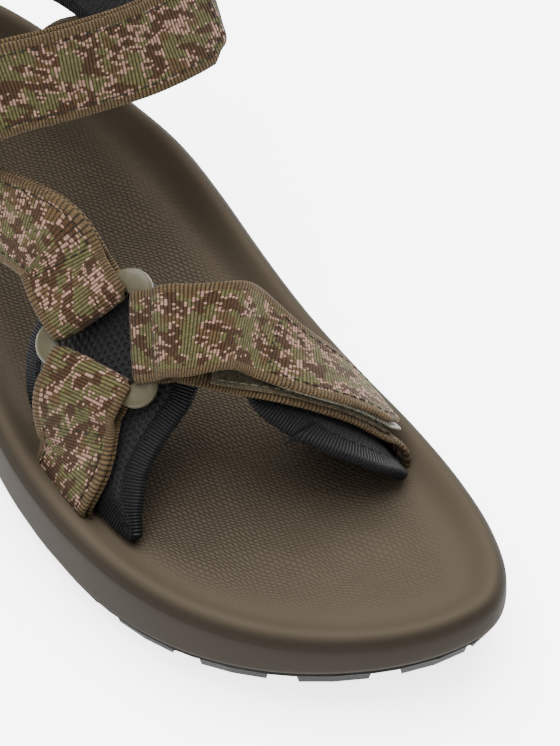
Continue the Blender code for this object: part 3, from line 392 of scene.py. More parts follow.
def on_foot(y, th, h):
    """Control point over the foot's surface."""
    return foot(y * SY, th, h), normal_at(y * SY, th)


def on_ankle(x, y, z, lean=30.0):
    """Control point round the front of the ankle, leaning upwards."""
    flat = unit(np.array([x - 5.0, y - 62.0, 0.0]))
    a = math.radians(lean)
    return np.array([x * SX, y * SY, z]), flat * math.cos(a) + UP * math.sin(a)


def on_collar(s, v, h):
    """Control point over the collar."""
    return collar(s, v, h), collar_out(s)


# ---- mesh making ---------------------------------------------------------------------------
def place_points(points):
    """Millimetres in the sole's own frame to metres in the model's."""
    return (np.asarray(points, float) + SHIFT) * MM


def make_object(name, verts, faces, material, uv=None, slot=None, body="base", replaces=(), extra=None):
    """Object from vertices in metres and a list of equal-sided face arrays, smooth shaded."""
    mesh = bpy.data.meshes.new(name)
    groups = [np.asarray(f, np.int64) for f in faces if len(f)]
    total = sum(len(f) for f in groups)
    corners = np.concatenate([f.ravel() for f in groups])
    sizes = np.concatenate([np.full(len(f), f.shape[1]) for f in groups])
    mesh.vertices.add(len(verts))
    mesh.vertices.foreach_set("co", np.asarray(verts, np.float32).ravel())
    mesh.loops.add(len(corners))
    mesh.loops.foreach_set("vertex_index", corners.astype(np.int32))
    mesh.polygons.add(total)
    mesh.polygons.foreach_set("loop_start", np.concatenate([[0], np.cumsum(sizes)[:-1]]).astype(np.int32))
    mesh.polygons.foreach_set("use_smooth", np.ones(total, bool))
    if uv is not None:
        layer = mesh.uv_layers.new(name="cloth")
        layer.data.foreach_set("uv", np.concatenate([np.asarray(u, np.float32).reshape(-1) for u in uv]))
    for key, values in (extra or {}).items():
        mesh.attributes.new(key, "FLOAT", "POINT").data.foreach_set("value", np.asarray(values, np.float32))
    mesh.update(calc_edges=True)
    mesh.validate()
    mesh.materials.append(material)
    obj = bpy.data.objects.new(name, mesh)
    bpy.context.scene.collection.objects.link(obj)
    if body == "stage":
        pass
    else:
        if body:
            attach(obj, body)
        if replaces:
            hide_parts(*replaces)
    return obj


def grid_faces(n, m, wrap_n, wrap_m, start=0):
    """Quads of an n by m grid of points, closed in either direction, with each corner's grid place."""
    i, j = np.meshgrid(np.arange(n if wrap_n else n - 1), np.arange(m if wrap_m else m - 1), indexing="ij")
    i, j = i.ravel(), j.ravel()
    steps = ((0, 0), (1, 0), (1, 1), (0, 1))
    faces = np.stack([start + ((i + a) % n) * m + (j + b) % m for a, b in steps], axis=1)
    return faces, np.stack([np.stack([i + a, j + b], axis=1) for a, b in steps], axis=1)


def across_faces(n, row, start, q, turn):
    """Faces that close ring number row of n points: each point joins its mirror in a line of q
    quads whose inner points are numbered from start, with a fan at each tip."""
    m = n // 2
    i = np.arange(1, m)
    ids = np.empty((m - 1, q + 1), int)
    ids[:, 0], ids[:, -1] = row * n + i, row * n + n - i
    ids[:, 1:-1] = start + np.arange((m - 1) * (q - 1)).reshape(m - 1, q - 1)
    quads = np.stack([ids[:-1, :-1], ids[1:, :-1], ids[1:, 1:], ids[:-1, 1:]], -1).reshape(-1, 4)
    tips = np.vstack([np.stack([np.full(q, row * n), ids[0, :-1], ids[0, 1:]], 1),
                      np.stack([ids[-1, 1:], ids[-1, :-1], np.full(q, row * n + m)], 1)])
    return [quads[:, ::-1], tips[:, ::-1]] if turn else [quads, tips]


def across_points(loop, q):
    """Inner points of the q-step straight lines that join a loop's two sides."""
    n = len(loop)
    i = np.arange(1, n // 2)
    share = np.linspace(0, 1, q + 1)[1:-1][None, :, None]
    return loop[i][:, None] * (1 - share) + loop[n - i][:, None] * share


def facing_out(verts, groups):
    """The face groups, all turned over if their shell is inside out."""
    return groups if outward(verts, groups) else [g[:, ::-1] for g in groups]


def outward(verts, faces):
    """True if the closed shell that the faces make has a positive volume."""
    tri = np.concatenate([f[:, [0, k, k + 1]] for f in faces for k in range(1, f.shape[1] - 1)])
    a, b, c = (verts[tri[:, k]] for k in range(3))
    return np.sum(a * np.cross(b, c)) > 0


def tube_object(name, rings, material, closed, uv, **how):
    """Closed shell through rings of points (n, m, 3); uv is the (u, v) of each point, (n + 1, m + 1, 2)."""
    n, m = rings.shape[:2]
    verts = place_points(rings.reshape(-1, 3))
    faces, corner = grid_faces(n, m, closed, True)
    uvs = uv[corner[..., 0], corner[..., 1]]
    groups, layers = [faces], [uvs]
    if not closed:
        for row in (0, n - 1):
            order = np.arange(m) if row == 0 else np.arange(m)[::-1]
            half = m // 2
            a, b = order[:half], order[half:][::-1]
            quads = np.stack([a[:-1], a[1:], b[1:], b[:-1]], axis=1)
            groups.append(row * m + quads)
            layers.append(uv[row, quads])
    if not outward(verts, groups):
        groups = [g[:, ::-1] for g in groups]
        layers = [l[:, ::-1] for l in layers]
    return make_object(name, verts, groups, material, uv=layers, **how)


# ---- webbing -------------------------------------------------------------------------------
RIB = 0.96           # spacing of the cross ribs
SELVEDGE = 2.3       # woven edge
SEAM_IN = 3.0        # stitch line from the edge
SEAM_V = STRAP_W / 2 - SEAM_IN
FLAT = 27            # points across each face of a strap


def size_of(name):
    """One of the scene's size properties in millimetres, to the tenth of a micron."""
    return round(getattr(bpy.context.scene.sandal_sizes, name) / MM, 4)


def ribbing(u):
    """Rounded ribs: root of the sine's size, from -0.5 in a groove to 0.5 on a crown."""
    return np.sqrt(np.abs(np.sin(np.pi * u / RIB))) - 0.5


def webbing(name, path, across, width, closed=False, thick=STRAP_T, seams=True, rib_h=None, seed=0.0,
            material="camo", slot="webbing_camo", **how):
    """Ribbed strap: a flat oval section carried along the path, its skin raised by ribs and
    lowered along the seams, with u along it and v across it in its UV map, in millimetres."""
    path, across = np.asarray(path), np.asarray(across)
    rib_h = size_of("rib_height") if rib_h is None else rib_h
    if closed:
        ahead = np.roll(path, -1, axis=0) - np.roll(path, 1, axis=0)
        run = length_along(np.vstack([path, path[:1]]))
        total = run[-1]
        run = run[:-1]
    else:
        ahead, run = np.gradient(path, axis=0), length_along(path)
        total = run[-1]
    face = unit(np.cross(unit(ahead), across))
    half = np.broadcast_to(np.asarray(width, float) / 2, len(path))
    flat = np.linspace(-1, 1, FLAT)
    turn = np.radians([60, 30, 0, -30, -60])
    r = thick / 2
    a = np.concatenate([flat, np.ones(5), flat[::-1], -np.ones(5)])
    bulge = np.concatenate([np.zeros(FLAT), np.cos(turn)] * 2)
    lift = np.concatenate([np.ones(FLAT), np.sin(turn), -np.ones(FLAT), -np.sin(turn)])
    v = a[None] * (half[:, None] - r) + np.sign(a)[None] * bulge[None] * r
    # The ribs wander: they skew by up to 0.3 mm at the edges and drift by 0.22 mm.
    wave = 0.30 * np.sin(run[:, None] / 9.0 + seed) * v / 12 + 0.22 * np.sin(run[:, None] / 5.3 + v / 6 + seed)
    if closed:
        wave *= smooth(run, 0, 8)[:, None] * smooth(total - run, 0, 8)[:, None]
    pitch = total / round(total / RIB) if closed else RIB
    u = (run[:, None] + wave) * RIB / pitch
    edge = half[:, None] - np.abs(v)
    dip = np.exp(-((edge - SEAM_IN) / 0.45) ** 2) * 0.22 if seams else 0.0
    worn = 0.06 * np.sin(u / 2.1 + v / 1.7 + seed) * np.sin(v / 2.3)
    h = lift[None] * (r - 0.10 * smooth(edge, SELVEDGE, 0.4) - dip + worn) \
        + np.sign(lift)[None] * (np.abs(lift) ** 0.5)[None] * ribbing(u) * rib_h
    v = v + np.sign(a)[None] * bulge[None] * ribbing(u) * rib_h
    rings = path[:, None] + v[..., None] * across[:, None] + h[..., None] * face[:, None]
    uv = np.stack([u, v], axis=-1)
    uv = np.concatenate([uv, uv[:, :1]], axis=1)
    last = uv[:1].copy()
    last[..., 0] += total * RIB / pitch
    uv = np.concatenate([uv, last if closed else uv[-1:]], axis=0)
    uv[..., 0] += seed * 40
    return tube_object(name, rings, MATERIALS[material], closed, uv, slot=slot, **how)


def stitches(name, lines, body="base", material="thread", slot="webbing_camo"):
    """Running stitches: short six-sided spindles along each (points, normals) line, whose height is
    a sine arch that sinks at both ends."""
    pitch, long, thick = size_of("stitch_pitch"), size_of("stitch_long"), size_of("stitch_thick")
    verts, faces, start = [], [], 0
    share = np.array([0.0, 0.12, 0.5, 0.88, 1.0])
    girth = np.array([0.45, 0.9, 1.0, 0.9, 0.45])
    turn = np.linspace(0, 2 * np.pi, 6, endpoint=False)
    for points, normals in lines:
        run = length_along(points)
        count = max(1, int(run[-1] // pitch))
        first = (run[-1] - count * pitch + pitch - long) / 2
        at = first + pitch * np.arange(count)[:, None] + share * long
        p, n = along(points, run, at), unit(along(normals, run, at))
        ahead = unit(np.gradient(p, axis=1))
        side = np.cross(n, ahead)
        p = p + n * (0.30 * np.sin(np.pi * share) - 0.16)[None, :, None]
        ring = np.cos(turn)[:, None] * side[:, :, None] + np.sin(turn)[:, None] * n[:, :, None]
        v = p[:, :, None] + ring * (girth * thick / 2)[None, :, None, None]
        block, _ = grid_faces(5, 6, False, True)
        caps = np.array([[0, 1, 2, 3], [0, 3, 4, 5]])
        block = np.vstack([block, caps, 24 + caps[:, ::-1]])
        faces.append((block[None] + 30 * np.arange(count)[:, None, None] + start).reshape(-1, 4))
        verts.append(v.reshape(-1, 3))
        start += 30 * count
    verts = place_points(np.vstack(verts))
    one = faces[0][:28]
    if not outward(verts - verts[one[0, 0]], [one]):
        faces = [f[:, ::-1] for f in faces]
    return make_object(name, verts, faces, MATERIALS[material], slot=slot, body=body)


def seam(path, across, v, height, lo=None, hi=None):
    """A line along a strap at v across it, and the direction it faces."""
    face = unit(np.cross(unit(np.gradient(path, axis=0)), across))
    v = np.broadcast_to(v, len(path))
    line = path + v[:, None] * across + height * face
    return line[lo:hi], (face * np.sign(height or 1.0))[lo:hi]


def cross_seam(path, across, i, half, height, zig=0.0):
    """A line straight across a strap at section i, or a zigzag of that size."""
    face = unit(np.cross(unit(np.gradient(path, axis=0)), across))[i]
    v = np.linspace(-half, half, 60)
    ahead = unit(path[min(i + 1, len(path) - 1)] - path[max(i - 1, 0)])
    zag = zig * np.sign(np.sin(v * np.pi / 1.1))
    line = path[i] + v[:, None] * across[i] + zag[:, None] * ahead + height * face
    return line, np.broadcast_to(face * np.sign(height), line.shape)


# ---- shader maths --------------------------------------------------------------------------
def by_node(operation, turned=False):
    """Method that does an operation with one Math node, its two values swapped if turned."""
    def method(self, *others):
        """The node's result."""
        return self.math(operation, *((*others, self) if turned else (self, *others)))
    return method


class Val:
    """A number in a node tree. Arithmetic on it adds Math nodes."""

    def __init__(self, tree, socket):
        self.tree, self.socket = tree, socket

    def math(self, operation, *values):
        """One Math node of the given operation on values, which are numbers or Vals."""
        node = self.tree.nodes.new("ShaderNodeMath")
        node.operation = operation
        for socket, value in zip(node.inputs, values):
            if isinstance(value, Val):
                self.tree.links.new(value.socket, socket)
            else:
                socket.default_value = value
        return Val(self.tree, node.outputs[0])

    __add__ = __radd__ = by_node("ADD")
    __mul__ = __rmul__ = by_node("MULTIPLY")
    __sub__, __rsub__ = by_node("SUBTRACT"), by_node("SUBTRACT", turned=True)
    __truediv__, __rtruediv__ = by_node("DIVIDE"), by_node("DIVIDE", turned=True)
    __pow__ = by_node("POWER")
    __gt__, __lt__ = by_node("GREATER_THAN"), by_node("LESS_THAN")
    floor, part, size = by_node("FLOOR"), by_node("FRACT"), by_node("ABSOLUTE")
    most = by_node("MAXIMUM")

    def ease(self, low, high):
        """0 below low, 1 above high, eased between."""
        node = self.tree.nodes.new("ShaderNodeMapRange")
        node.interpolation_type = "SMOOTHSTEP"
        self.tree.links.new(self.socket, node.inputs["Value"])
        node.inputs["From Min"].default_value = low
        node.inputs["From Max"].default_value = high
        return Val(self.tree, node.outputs["Result"])


class Look:
    """A material under construction: one Principled shader and the nodes that feed it."""

    def __init__(self, name, rough, **constants):
        self.mat = bpy.data.materials.new(name)
        self.mat.use_nodes = True
        self.tree = self.mat.node_tree
        self.shader = next(n for n in self.tree.nodes if n.type == "BSDF_PRINCIPLED")
        self.shader.inputs["Roughness"].default_value = rough
        for key, value in constants.items():
            self.shader.inputs[key.replace("_", " ")].default_value = value

    def node(self, kind, settings=None, **sockets):
        """Any other node: its settings first, then a value or link for each named socket."""
        node = self.tree.nodes.new(kind)
        for key, value in (settings or {}).items():
            setattr(node, key, value)
        for key, value in sockets.items():
            self.feed(node.inputs[key.replace("_", " ")], value)
        return node

    def feed(self, socket, value):
        """Links a Val or an output to a socket, or sets its value."""
        if isinstance(value, Val):
            value = value.socket
        if isinstance(value, bpy.types.NodeSocket):
            self.tree.links.new(value, socket)
        else:
            socket.default_value = value

    def cloth(self):
        """The piece's own u and v, in millimetres."""
        uv = self.node("ShaderNodeUVMap", {"uv_map": "cloth"})
        split = self.node("ShaderNodeSeparateXYZ", Vector=uv.outputs["UV"])
        return Val(self.tree, split.outputs["X"]), Val(self.tree, split.outputs["Y"])

    def place(self):
        """The point on the object, in millimetres."""
        coord = self.node("ShaderNodeTexCoord")
        scaled = self.node("ShaderNodeVectorMath", {"operation": "SCALE"}, Scale=1000.0,
                           Vector=coord.outputs["Object"])
        return scaled.outputs["Vector"]

    def joined(self, x, y, z=0.0):
        """Three numbers as one vector."""
        return self.node("ShaderNodeCombineXYZ", X=x, Y=y, Z=z).outputs["Vector"]

    def noise(self, vector, scale, detail=2.0, rough=0.5):
        """Smooth noise, 0 to 1, at a scale in cycles per millimetre."""
        node = self.node("ShaderNodeTexNoise", Vector=vector, Scale=scale, Detail=detail, Roughness=rough)
        return Val(self.tree, node.outputs["Fac"])

    def cells(self, vector, scale, feature="F1", spread=1.0):
        """Distance from the nearest point of a scatter."""
        node = self.node("ShaderNodeTexVoronoi", {"feature": feature}, Vector=vector, Scale=scale,
                         Randomness=spread)
        return Val(self.tree, node.outputs["Distance"])

    def toss(self, vector):
        """A number from 0 to 1 that differs from cell to cell."""
        node = self.node("ShaderNodeTexWhiteNoise", {"noise_dimensions": "3D"}, Vector=vector)
        return Val(self.tree, node.outputs["Value"])

    def mix(self, share, one, two):
        """Colour between one and two."""
        node = self.tree.nodes.new("ShaderNodeMix")
        node.data_type = "RGBA"
        self.feed(node.inputs[0], share)
        for socket, value in ((node.inputs[6], one), (node.inputs[7], two)):
            self.feed(socket, value if isinstance(value, bpy.types.NodeSocket) else (*value, 1.0))
        return node.outputs[2]

    def shade(self, colour, share):
        """Colour multiplied by a number."""
        grey = self.node("ShaderNodeCombineXYZ", X=share, Y=share, Z=share)
        node = self.node("ShaderNodeVectorMath", {"operation": "MULTIPLY"})
        self.feed(node.inputs[0], colour)
        self.feed(node.inputs[1], grey.outputs["Vector"])
        return node.outputs["Vector"]

    def finish(self, colour=None, rough=None, height=None, deep=0.2):
        """Feeds the shader: colour, roughness, and a bump of height in units of deep millimetres."""
        if colour is not None:
            self.feed(self.shader.inputs["Base Color"], colour)
        if rough is not None:
            self.feed(self.shader.inputs["Roughness"], rough)
        if height is not None:
            bump = self.node("ShaderNodeBump", Height=height, Strength=1.0, Distance=deep * MM)
            self.tree.links.new(bump.outputs["Normal"], self.shader.inputs["Normal"])
        return self.mat


def linear(r, g, b):
    """Screen colour 0-255 to linear light."""
    c = np.array([r, g, b]) / 255
    return tuple(float(x) for x in np.where(c <= 0.04045, c / 12.92, ((c + 0.055) / 1.055) ** 2.4))


MATERIALS = {}
HOOK_PITCH, TAPE_RIB = 1.1, 0.9            # from hook to hook, and from rib to rib of the binding
EYELET, SCALE = (1.75, 1.35), (2.0, 1.05)  # length and width of a mesh hole's and an embossed scale's cell


def tone(props, name):
    """A colour property as three numbers."""
    return tuple(getattr(props, name))


def make_camo(props):
    """Jacquard webbing: ribs across, square-stepped blotches of four yarns, plain woven edges."""
    look = Look("camo_webbing", 0.8, Sheen_Weight=0.03, Specular_IOR_Level=0.12)
    u, v = look.cloth()
    yarn = props.yarn_pitch
    row = (u / RIB).floor()
    lane = v / yarn + row * 0.5
    cell = lane.floor()
    big = look.noise(look.joined(row * (RIB * 0.72), cell * yarn), 0.24, 1.5, 0.6)
    other = look.noise(look.joined(row * RIB, cell * yarn, 31.0), 0.17, 1.0)
    fine = look.noise(look.joined(row * RIB, cell * (yarn * 1.5), 57.0), 0.55, 1.0)
    toss = look.toss(look.joined(row, cell))
    colour = look.mix(other > 0.56, tone(props, "olive"), tone(props, "tan"))
    colour = look.mix((big + toss * 0.05) > 0.535, colour, tone(props, "brown"))
    line = ((big - 0.51 + (toss - 0.5) * 0.03).size() < 0.03) * (other > 0.46)
    speck = (fine > 0.64) * (big > 0.45)
    colour = look.mix(line.most(speck), colour, tone(props, "sand"))
    half = v.size() * -1.0 + STRAP_W / 2
    edge = half.ease(SELVEDGE + 0.15, SELVEDGE - 0.15)
    colour = look.mix(edge, colour, tone(props, "selvedge"))
    groove = ((u / RIB).part() - 0.5).size() * 2.0
    thread = (lane.part() - 0.5).size() * 2.0
    fibre = look.noise(look.joined(u * 6.0, v * 1.2), 1.0, 2.0)
    # Painted shade: dark lowers the colour in the grooves between ribs and between the yarns of a rib; the toss
    # and fibre factors are random tone.
    dark = 1.0 - groove.ease(0.3, 0.95) * 0.8
    dark = dark * (1.0 - thread.ease(0.55, 1.0) * 0.3) * (toss * 0.35 + 0.8) * (fibre * 0.3 + 0.85)
    colour = look.shade(colour, dark)
    height = (1.0 - groove * groove) + (1.0 - thread * thread) * 0.5 + fibre * 0.25
    MATERIALS["camo"] = look.finish(colour, 0.72 + fibre * 0.25, height, 0.2)


def make_tapes(props):
    """Loop pile, hook tape, ribbed binding and thread."""
    look = Look("loop_pile", 0.95, Sheen_Weight=0.06, Specular_IOR_Level=0.1)
    u, v = look.cloth()
    spot = look.joined(u, v)
    knit = look.cells(spot, 1.9)
    fuzz = look.noise(spot, 2.6, 3.0, 0.7)
    edge = (v.size() * -1.0 + (STRAP_W - 1.5) / 2).ease(0.9, 0.4)
    # Painted light: the pile shade colour sits where the fuzz is low, and the knit factor in the finish paints
    # the loop crowns lighter and the gaps between loops darker.
    colour = look.mix(fuzz, tone(props, "pile_dark"), tone(props, "pile"))
    colour = look.mix(edge * 0.6, colour, tone(props, "selvedge"))
    MATERIALS["pile"] = look.finish(look.shade(colour, 1.15 - knit * 0.75), None, fuzz + (1.0 - knit), 0.35)

    look = Look("hook_tape", 0.6, Sheen_Weight=0.1)
    u, v = look.cloth()
    row = (u / HOOK_PITCH).floor()
    a = ((u / HOOK_PITCH).part() - 0.5).size() * 2.0
    b = ((v / HOOK_PITCH + row * 0.5).part() - 0.5).size() * 2.0
    hook = (1.0 - (a * a + b * b)).ease(0.1, 0.6)
    # Painted shade: the colour between the hooks is darker than the hooks.
    colour = look.mix(hook, tone(props, "hook_gap_shade"), tone(props, "hook"))
    MATERIALS["hook"] = look.finish(colour, None, hook, 0.35)

    look = Look("ribbed_tape", 0.55, Sheen_Weight=0.02, Specular_IOR_Level=0.14)
    u, v = look.cloth()
    rib = ((u / TAPE_RIB).part() - 0.5).size() * 2.0
    thread = look.noise(look.joined(u * 5.0, v * 0.8), 1.0, 2.0)
    # Painted shade: the colour darkens into the grooves between the tape's ribs.
    colour = look.mix(rib.ease(0.4, 1.0), tone(props, "tape"), tone(props, "tape_groove"))
    MATERIALS["tape"] = look.finish(look.shade(colour, 0.7 + thread * 0.6), None, 1.0 - rib * rib, 0.35)

    for key, colour in (("thread", "thread"), ("pale_thread", "pile"), ("black_thread", "tape")):
        look = Look(key, 0.7, Specular_IOR_Level=0.15)
        twist = look.noise(look.place(), 3.0, 2.0)
        MATERIALS[key] = look.finish(look.shade(tone(props, colour), 0.75 + twist * 0.5), None, twist, 0.1)


def make_soft(props):
    """Spacer mesh with rows of oval eyelets."""
    look = Look("spacer_mesh", 0.6, Sheen_Weight=0.02, Specular_IOR_Level=0.16)
    u, v = look.cloth()
    row = (v / EYELET[1]).floor()
    a = ((u / EYELET[0] + row * 0.5).part() - 0.5) * 2.0
    b = ((v / EYELET[1]).part() - 0.5) * 2.0
    ring = (a * a + b * b * 1.15)
    hole = ring.ease(0.62, 0.22)
    knit = look.noise(look.joined(u, v), 2.2, 3.0, 0.7)
    # Painted shade: the eyelets are filled with a darker colour than the knit.
    colour = look.mix(hole, tone(props, "mesh"), tone(props, "mesh_hole_shade"))
    glint = (ring.ease(0.75, 1.0) - ring.ease(1.2, 1.5)) * 1.6 + 0.5
    MATERIALS["mesh"] = look.finish(look.shade(colour, (0.45 + knit * 0.8) * glint), None,
                                    (1.0 - hole) + knit * 0.25, 0.5)


def make_hard(props):
    """Moulded footbed with a scaled emboss, rubber, and the translucent rings."""
    look = Look("moulded_foam", 0.8, Specular_IOR_Level=0.07)
    spot = look.place()
    split = look.node("ShaderNodeSeparateXYZ", Vector=spot)
    x, y = Val(look.tree, split.outputs["X"]), Val(look.tree, split.outputs["Y"])
    warp = look.noise(spot, 0.045, 2.0)
    mask = Val(look.tree, look.node("ShaderNodeAttribute", {"attribute_name": "emboss"}).outputs["Fac"])
    p, q = x * 0.87 + y * 0.5 + warp * 9.0, y * 0.87 - x * 0.5 + warp * 7.0
    row = (p / SCALE[1]).floor()
    a = ((q / SCALE[0] + row * 0.5).part() - 0.5) * 2.0
    b = ((p / SCALE[1]).part() - 0.5) * 2.0
    scale = (1.0 - (a.size() ** 2.0 + b.size() ** 2.0)).ease(-0.6, 0.7)
    grain = look.noise(spot, 1.6, 4.0, 0.65)
    cloud = look.noise(spot, 0.03, 3.0)
    colour = look.mix(cloud, tone(props, "foam_dark"), tone(props, "foam"))
    side = Val(look.tree, look.node("ShaderNodeAttribute", {"attribute_name": "side"}).outputs["Fac"])
    # Painted shade: the colour darkens in the grooves between the embossed scales, and on the side wall and
    # underside where the "side" attribute is 1; the grain factor is random tone.
    colour = look.shade(colour, (0.93 + grain * 0.14) * (1.0 - (1.0 - scale) * mask * 0.3) * (1.0 - side * 0.62))
    height = scale * mask * 1.3 + grain * 0.12
    MATERIALS["foam"] = look.finish(colour, 0.68 + grain * 0.16 - scale * mask * 0.05, height, 0.34)

    look = Look("outsole_rubber", 0.55, Specular_IOR_Level=0.15)
    spot = look.place()
    grain = look.noise(spot, 2.5, 4.0, 0.7)
    dust = look.noise(spot, 0.08, 4.0, 0.6)
    colour = look.mix(dust.ease(0.45, 0.8), tone(props, "rubber"), tone(props, "rubber_dust"))
    MATERIALS["rubber"] = look.finish(colour, 0.48 + grain * 0.25, grain, 0.12)

    look = Look("ring_plastic", 0.4, Subsurface_Weight=0.2, Subsurface_Scale=0.003,
                Specular_IOR_Level=0.22, Coat_Weight=0.04, Coat_Roughness=0.3)
    look.shader.inputs["Subsurface Radius"].default_value = (1.0, 0.9, 0.6)
    spot = look.place()
    flow = look.noise(spot, 0.12, 2.0)
    scuff = look.noise(spot, 1.4, 3.0, 0.7)
    colour = look.mix(flow, tone(props, "ring"), tone(props, "ring_deep"))
    MATERIALS["ring"] = look.finish(colour, 0.34 + scuff * 0.2, scuff, 0.04)


# ---- properties ----------------------------------------------------------------------------
def colour_prop(name, description, rgb):
    """A colour property with its default given as screen values."""
    return bpy.props.FloatVectorProperty(name=name, description=description, subtype="COLOR", size=3,
                                         min=0.0, max=1.0, default=linear(*rgb))


class SandalColours(bpy.types.PropertyGroup):
    """Colours and yarn sizes of the finishes."""
    yarn_pitch: bpy.props.FloatProperty(name="Yarn pitch", description="Width of one yarn across a rib, in mm",
                                        default=0.6, min=0.3, max=3.0)
    olive: colour_prop("Olive yarn", "Ground colour of the webbing", (71, 67, 39))
    tan: colour_prop("Tan yarn", "Second ground colour of the webbing", (68, 52, 30))
    brown: colour_prop("Brown yarn", "Dark blotches of the webbing", (53, 35, 18))
    sand: colour_prop("Sand yarn", "Pale blotches of the webbing", (123, 96, 82))
    selvedge: colour_prop("Selvedge", "Woven edge of the webbing", (69, 55, 35))
    pile: colour_prop("Loop pile", "Brushed loop patch", (82, 77, 61))
    pile_dark: colour_prop("Loop pile shade", "Between the loops", (49, 45, 33))
    hook: colour_prop("Hooks", "Hook patch", (88, 85, 65))
    # Painted shade between the hooks.
    hook_gap_shade: colour_prop("Hook gap shade", "Between the hooks", (74, 72, 58))
    tape: colour_prop("Binding tape", "Ribbed tape round the pads", (9, 9, 11))
    # Painted shade in the tape's grooves.
    tape_groove: colour_prop("Binding groove", "Between the tape's ribs", (2, 2, 2))
    mesh: colour_prop("Spacer mesh", "Knitted cover of the pads", (13, 12, 13))
    # Painted shade inside the eyelets.
    mesh_hole_shade: colour_prop("Mesh eyelets", "Inside the holes of the mesh", (4, 4, 4))
    foam: colour_prop("Foam", "Footbed and side wall", (57, 51, 41))
    foam_dark: colour_prop("Foam shade", "Clouding in the foam", (52, 45, 36))
    rubber: colour_prop("Rubber", "Outsole", (13, 13, 13))
    rubber_dust: colour_prop("Rubber dust", "Pale bloom on the outsole", (40, 38, 36))
    ring: colour_prop("Ring", "Moulded rings", (62, 58, 42))
    ring_deep: colour_prop("Ring shade", "Flow marks in the rings", (52, 48, 31))
    thread: colour_prop("Thread", "Stitching on the webbing", (21, 20, 14))


class SandalSizes(bpy.types.PropertyGroup):
    """Sizes of the finished pieces that the frame leaves free."""
    stitch_pitch: bpy.props.FloatProperty(name="Stitch spacing", description="From stitch to stitch",
                                          default=0.003, min=0.001, max=0.01, unit="LENGTH")
    stitch_long: bpy.props.FloatProperty(name="Stitch length", description="From end to end of one stitch",
                                         default=0.0023, min=0.0005, max=0.01, unit="LENGTH")
    stitch_thick: bpy.props.FloatProperty(name="Thread thickness", description="Across one stitch",
                                          default=0.00042, min=0.0001, max=0.001, unit="LENGTH")
    rib_height: bpy.props.FloatProperty(name="Rib height", description="Groove to crown of a webbing rib",
                                        default=0.00016, min=0.0, max=0.0004, unit="LENGTH")
    floor_size: bpy.props.FloatProperty(name="Floor size", description="Side of the square floor",
                                        default=6.0, min=1.0, max=20.0, unit="LENGTH")


# ---- operators -----------------------------------------------------------------------------
class SANDAL_OT_finishes(bpy.types.Operator):
    """Makes the materials"""
    bl_idname = "sandal.finishes"
    bl_label = "Finishes"

    def execute(self, context):
        props = context.scene.sandal_colours
        make_camo(props)
        make_tapes(props)
        make_soft(props)
        make_hard(props)
        for node in ("outsole", "shank", "heel_cushion"):
            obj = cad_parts[node]
            for slot in obj.material_slots:
                slot.material = MATERIALS["rubber"]
        return {"FINISHED"}


class SANDAL_OT_footbed(bpy.types.Operator):
    """Builds the cupped footbed with its rim"""
    bl_idname = "sandal.footbed"
    bl_label = "Footbed"

    def execute(self, context):
        # Loops follow the outline: each has an inset and a height, blended from the underside over
        # the rim to the bed; inside the last loop, straight lines across join its two sides.
        count, q = 480, 70
        # Inset, what the height is measured from, and how far: see loop.
        key = [(14.0, "u", 0.0), (2.0, "u", 0.0), (0.7, "u", 0.5), (0.1, "u", 1.6), (0.0, "u", 3.2),
               (0.1, "m", -1.0), (0.4, "r", -4.6), (0.9, "r", -3.0), (1.7, "r", -1.6), (2.7, "r", -0.55),
               (3.9, "r", -0.05), (5.2, "b", 0.93), (6.6, "b", 0.74), (8.0, "b", 0.50), (9.4, "b", 0.28),
               (10.8, "b", 0.12), (12.2, "b", 0.03), (13.6, "b", 0.0), (15.0, "b", 0.0)]
        fine = np.linspace(0, len(key) - 1, 4 * (len(key) - 1) + 1)
        loops = np.stack([self.loop(*k, count) for k in key])
        low = np.floor(fine).astype(int).clip(0, len(key) - 2)
        t = (fine - low)[:, None, None]
        before = loops[(low - 1).clip(0)]
        after = loops[(low + 2).clip(0, len(key) - 1)]
        a, b = loops[low], loops[low + 1]
        ma, mb = (b - before) / 2, (after - a) / 2
        rings = ((2 * t ** 3 - 3 * t ** 2 + 1) * a + (t ** 3 - 2 * t ** 2 + t) * ma
                 + (3 * t ** 2 - 2 * t ** 3) * b + (t ** 3 - t ** 2) * mb)
        n, m = len(rings), count
        verts = [rings.reshape(-1, 3)]
        walls, _ = grid_faces(n, m, False, True)
        groups = [walls]
        total = n * m
        for row, top in ((n - 1, True), (0, False)):
            inner = across_points(rings[row], q).reshape(-1, 3)
            x, y = inner[:, 0], inner[:, 1]
            inner[:, 2] = bed(x, y) if top else under(y)
            groups += across_faces(m, row, total, q, top)
            verts.append(inner)
            total += len(inner)
        verts = np.vstack(verts)
        groups = facing_out(verts, groups)
        # "side" is 1 on the outer wall and below and 0 on the bed, and the foam material darkens the colour
        # there as painted shade; "emboss" fades in from the rim.
        gap = np.min(np.linalg.norm(EDGE[None, ::3] - verts[:, None, :2], axis=2), axis=1)
        side = np.zeros(len(verts))
        side[:n * m] = np.repeat(1 - smooth(fine, 7.6, 10.2), m)
        side[len(verts) - (m // 2 - 1) * (q - 1):] = 1.0
        top = verts[:, 2] > under(verts[:, 1]) + 0.6 * thickness(verts[:, 1])
        emboss = smooth(gap, 8.0, 22.0) * top * (0.35 + 0.65 * smooth(verts[:, 1], -120, -60))
        make_object("footbed", place_points(verts), groups, MATERIALS["foam"], slot="eva_taupe",
                    replaces=("midsole",), extra={"emboss": emboss, "side": side})
        return {"FINISHED"}

    @staticmethod
    def loop(inset, kind, value, count):
        """One loop: the inset outline at a height measured from the underside, the middle, the rim
        or between bed and rim."""
        page = outline(inset, count)
        x, y = page[:, 0], page[:, 1]
        z = {"u": lambda: under(y) + value, "m": lambda: 0.5 * (under(y) + rim(x, y)) + value,
             "r": lambda: rim(x, y) + value, "b": lambda: bed(x, y) * (1 - value) + rim(x, y) * value}[kind]()
        return np.column_stack([page, z])


CORNER_CUT, EASE = 13.9, 0.35     # centre to the flat inside each ring corner, and its rounding


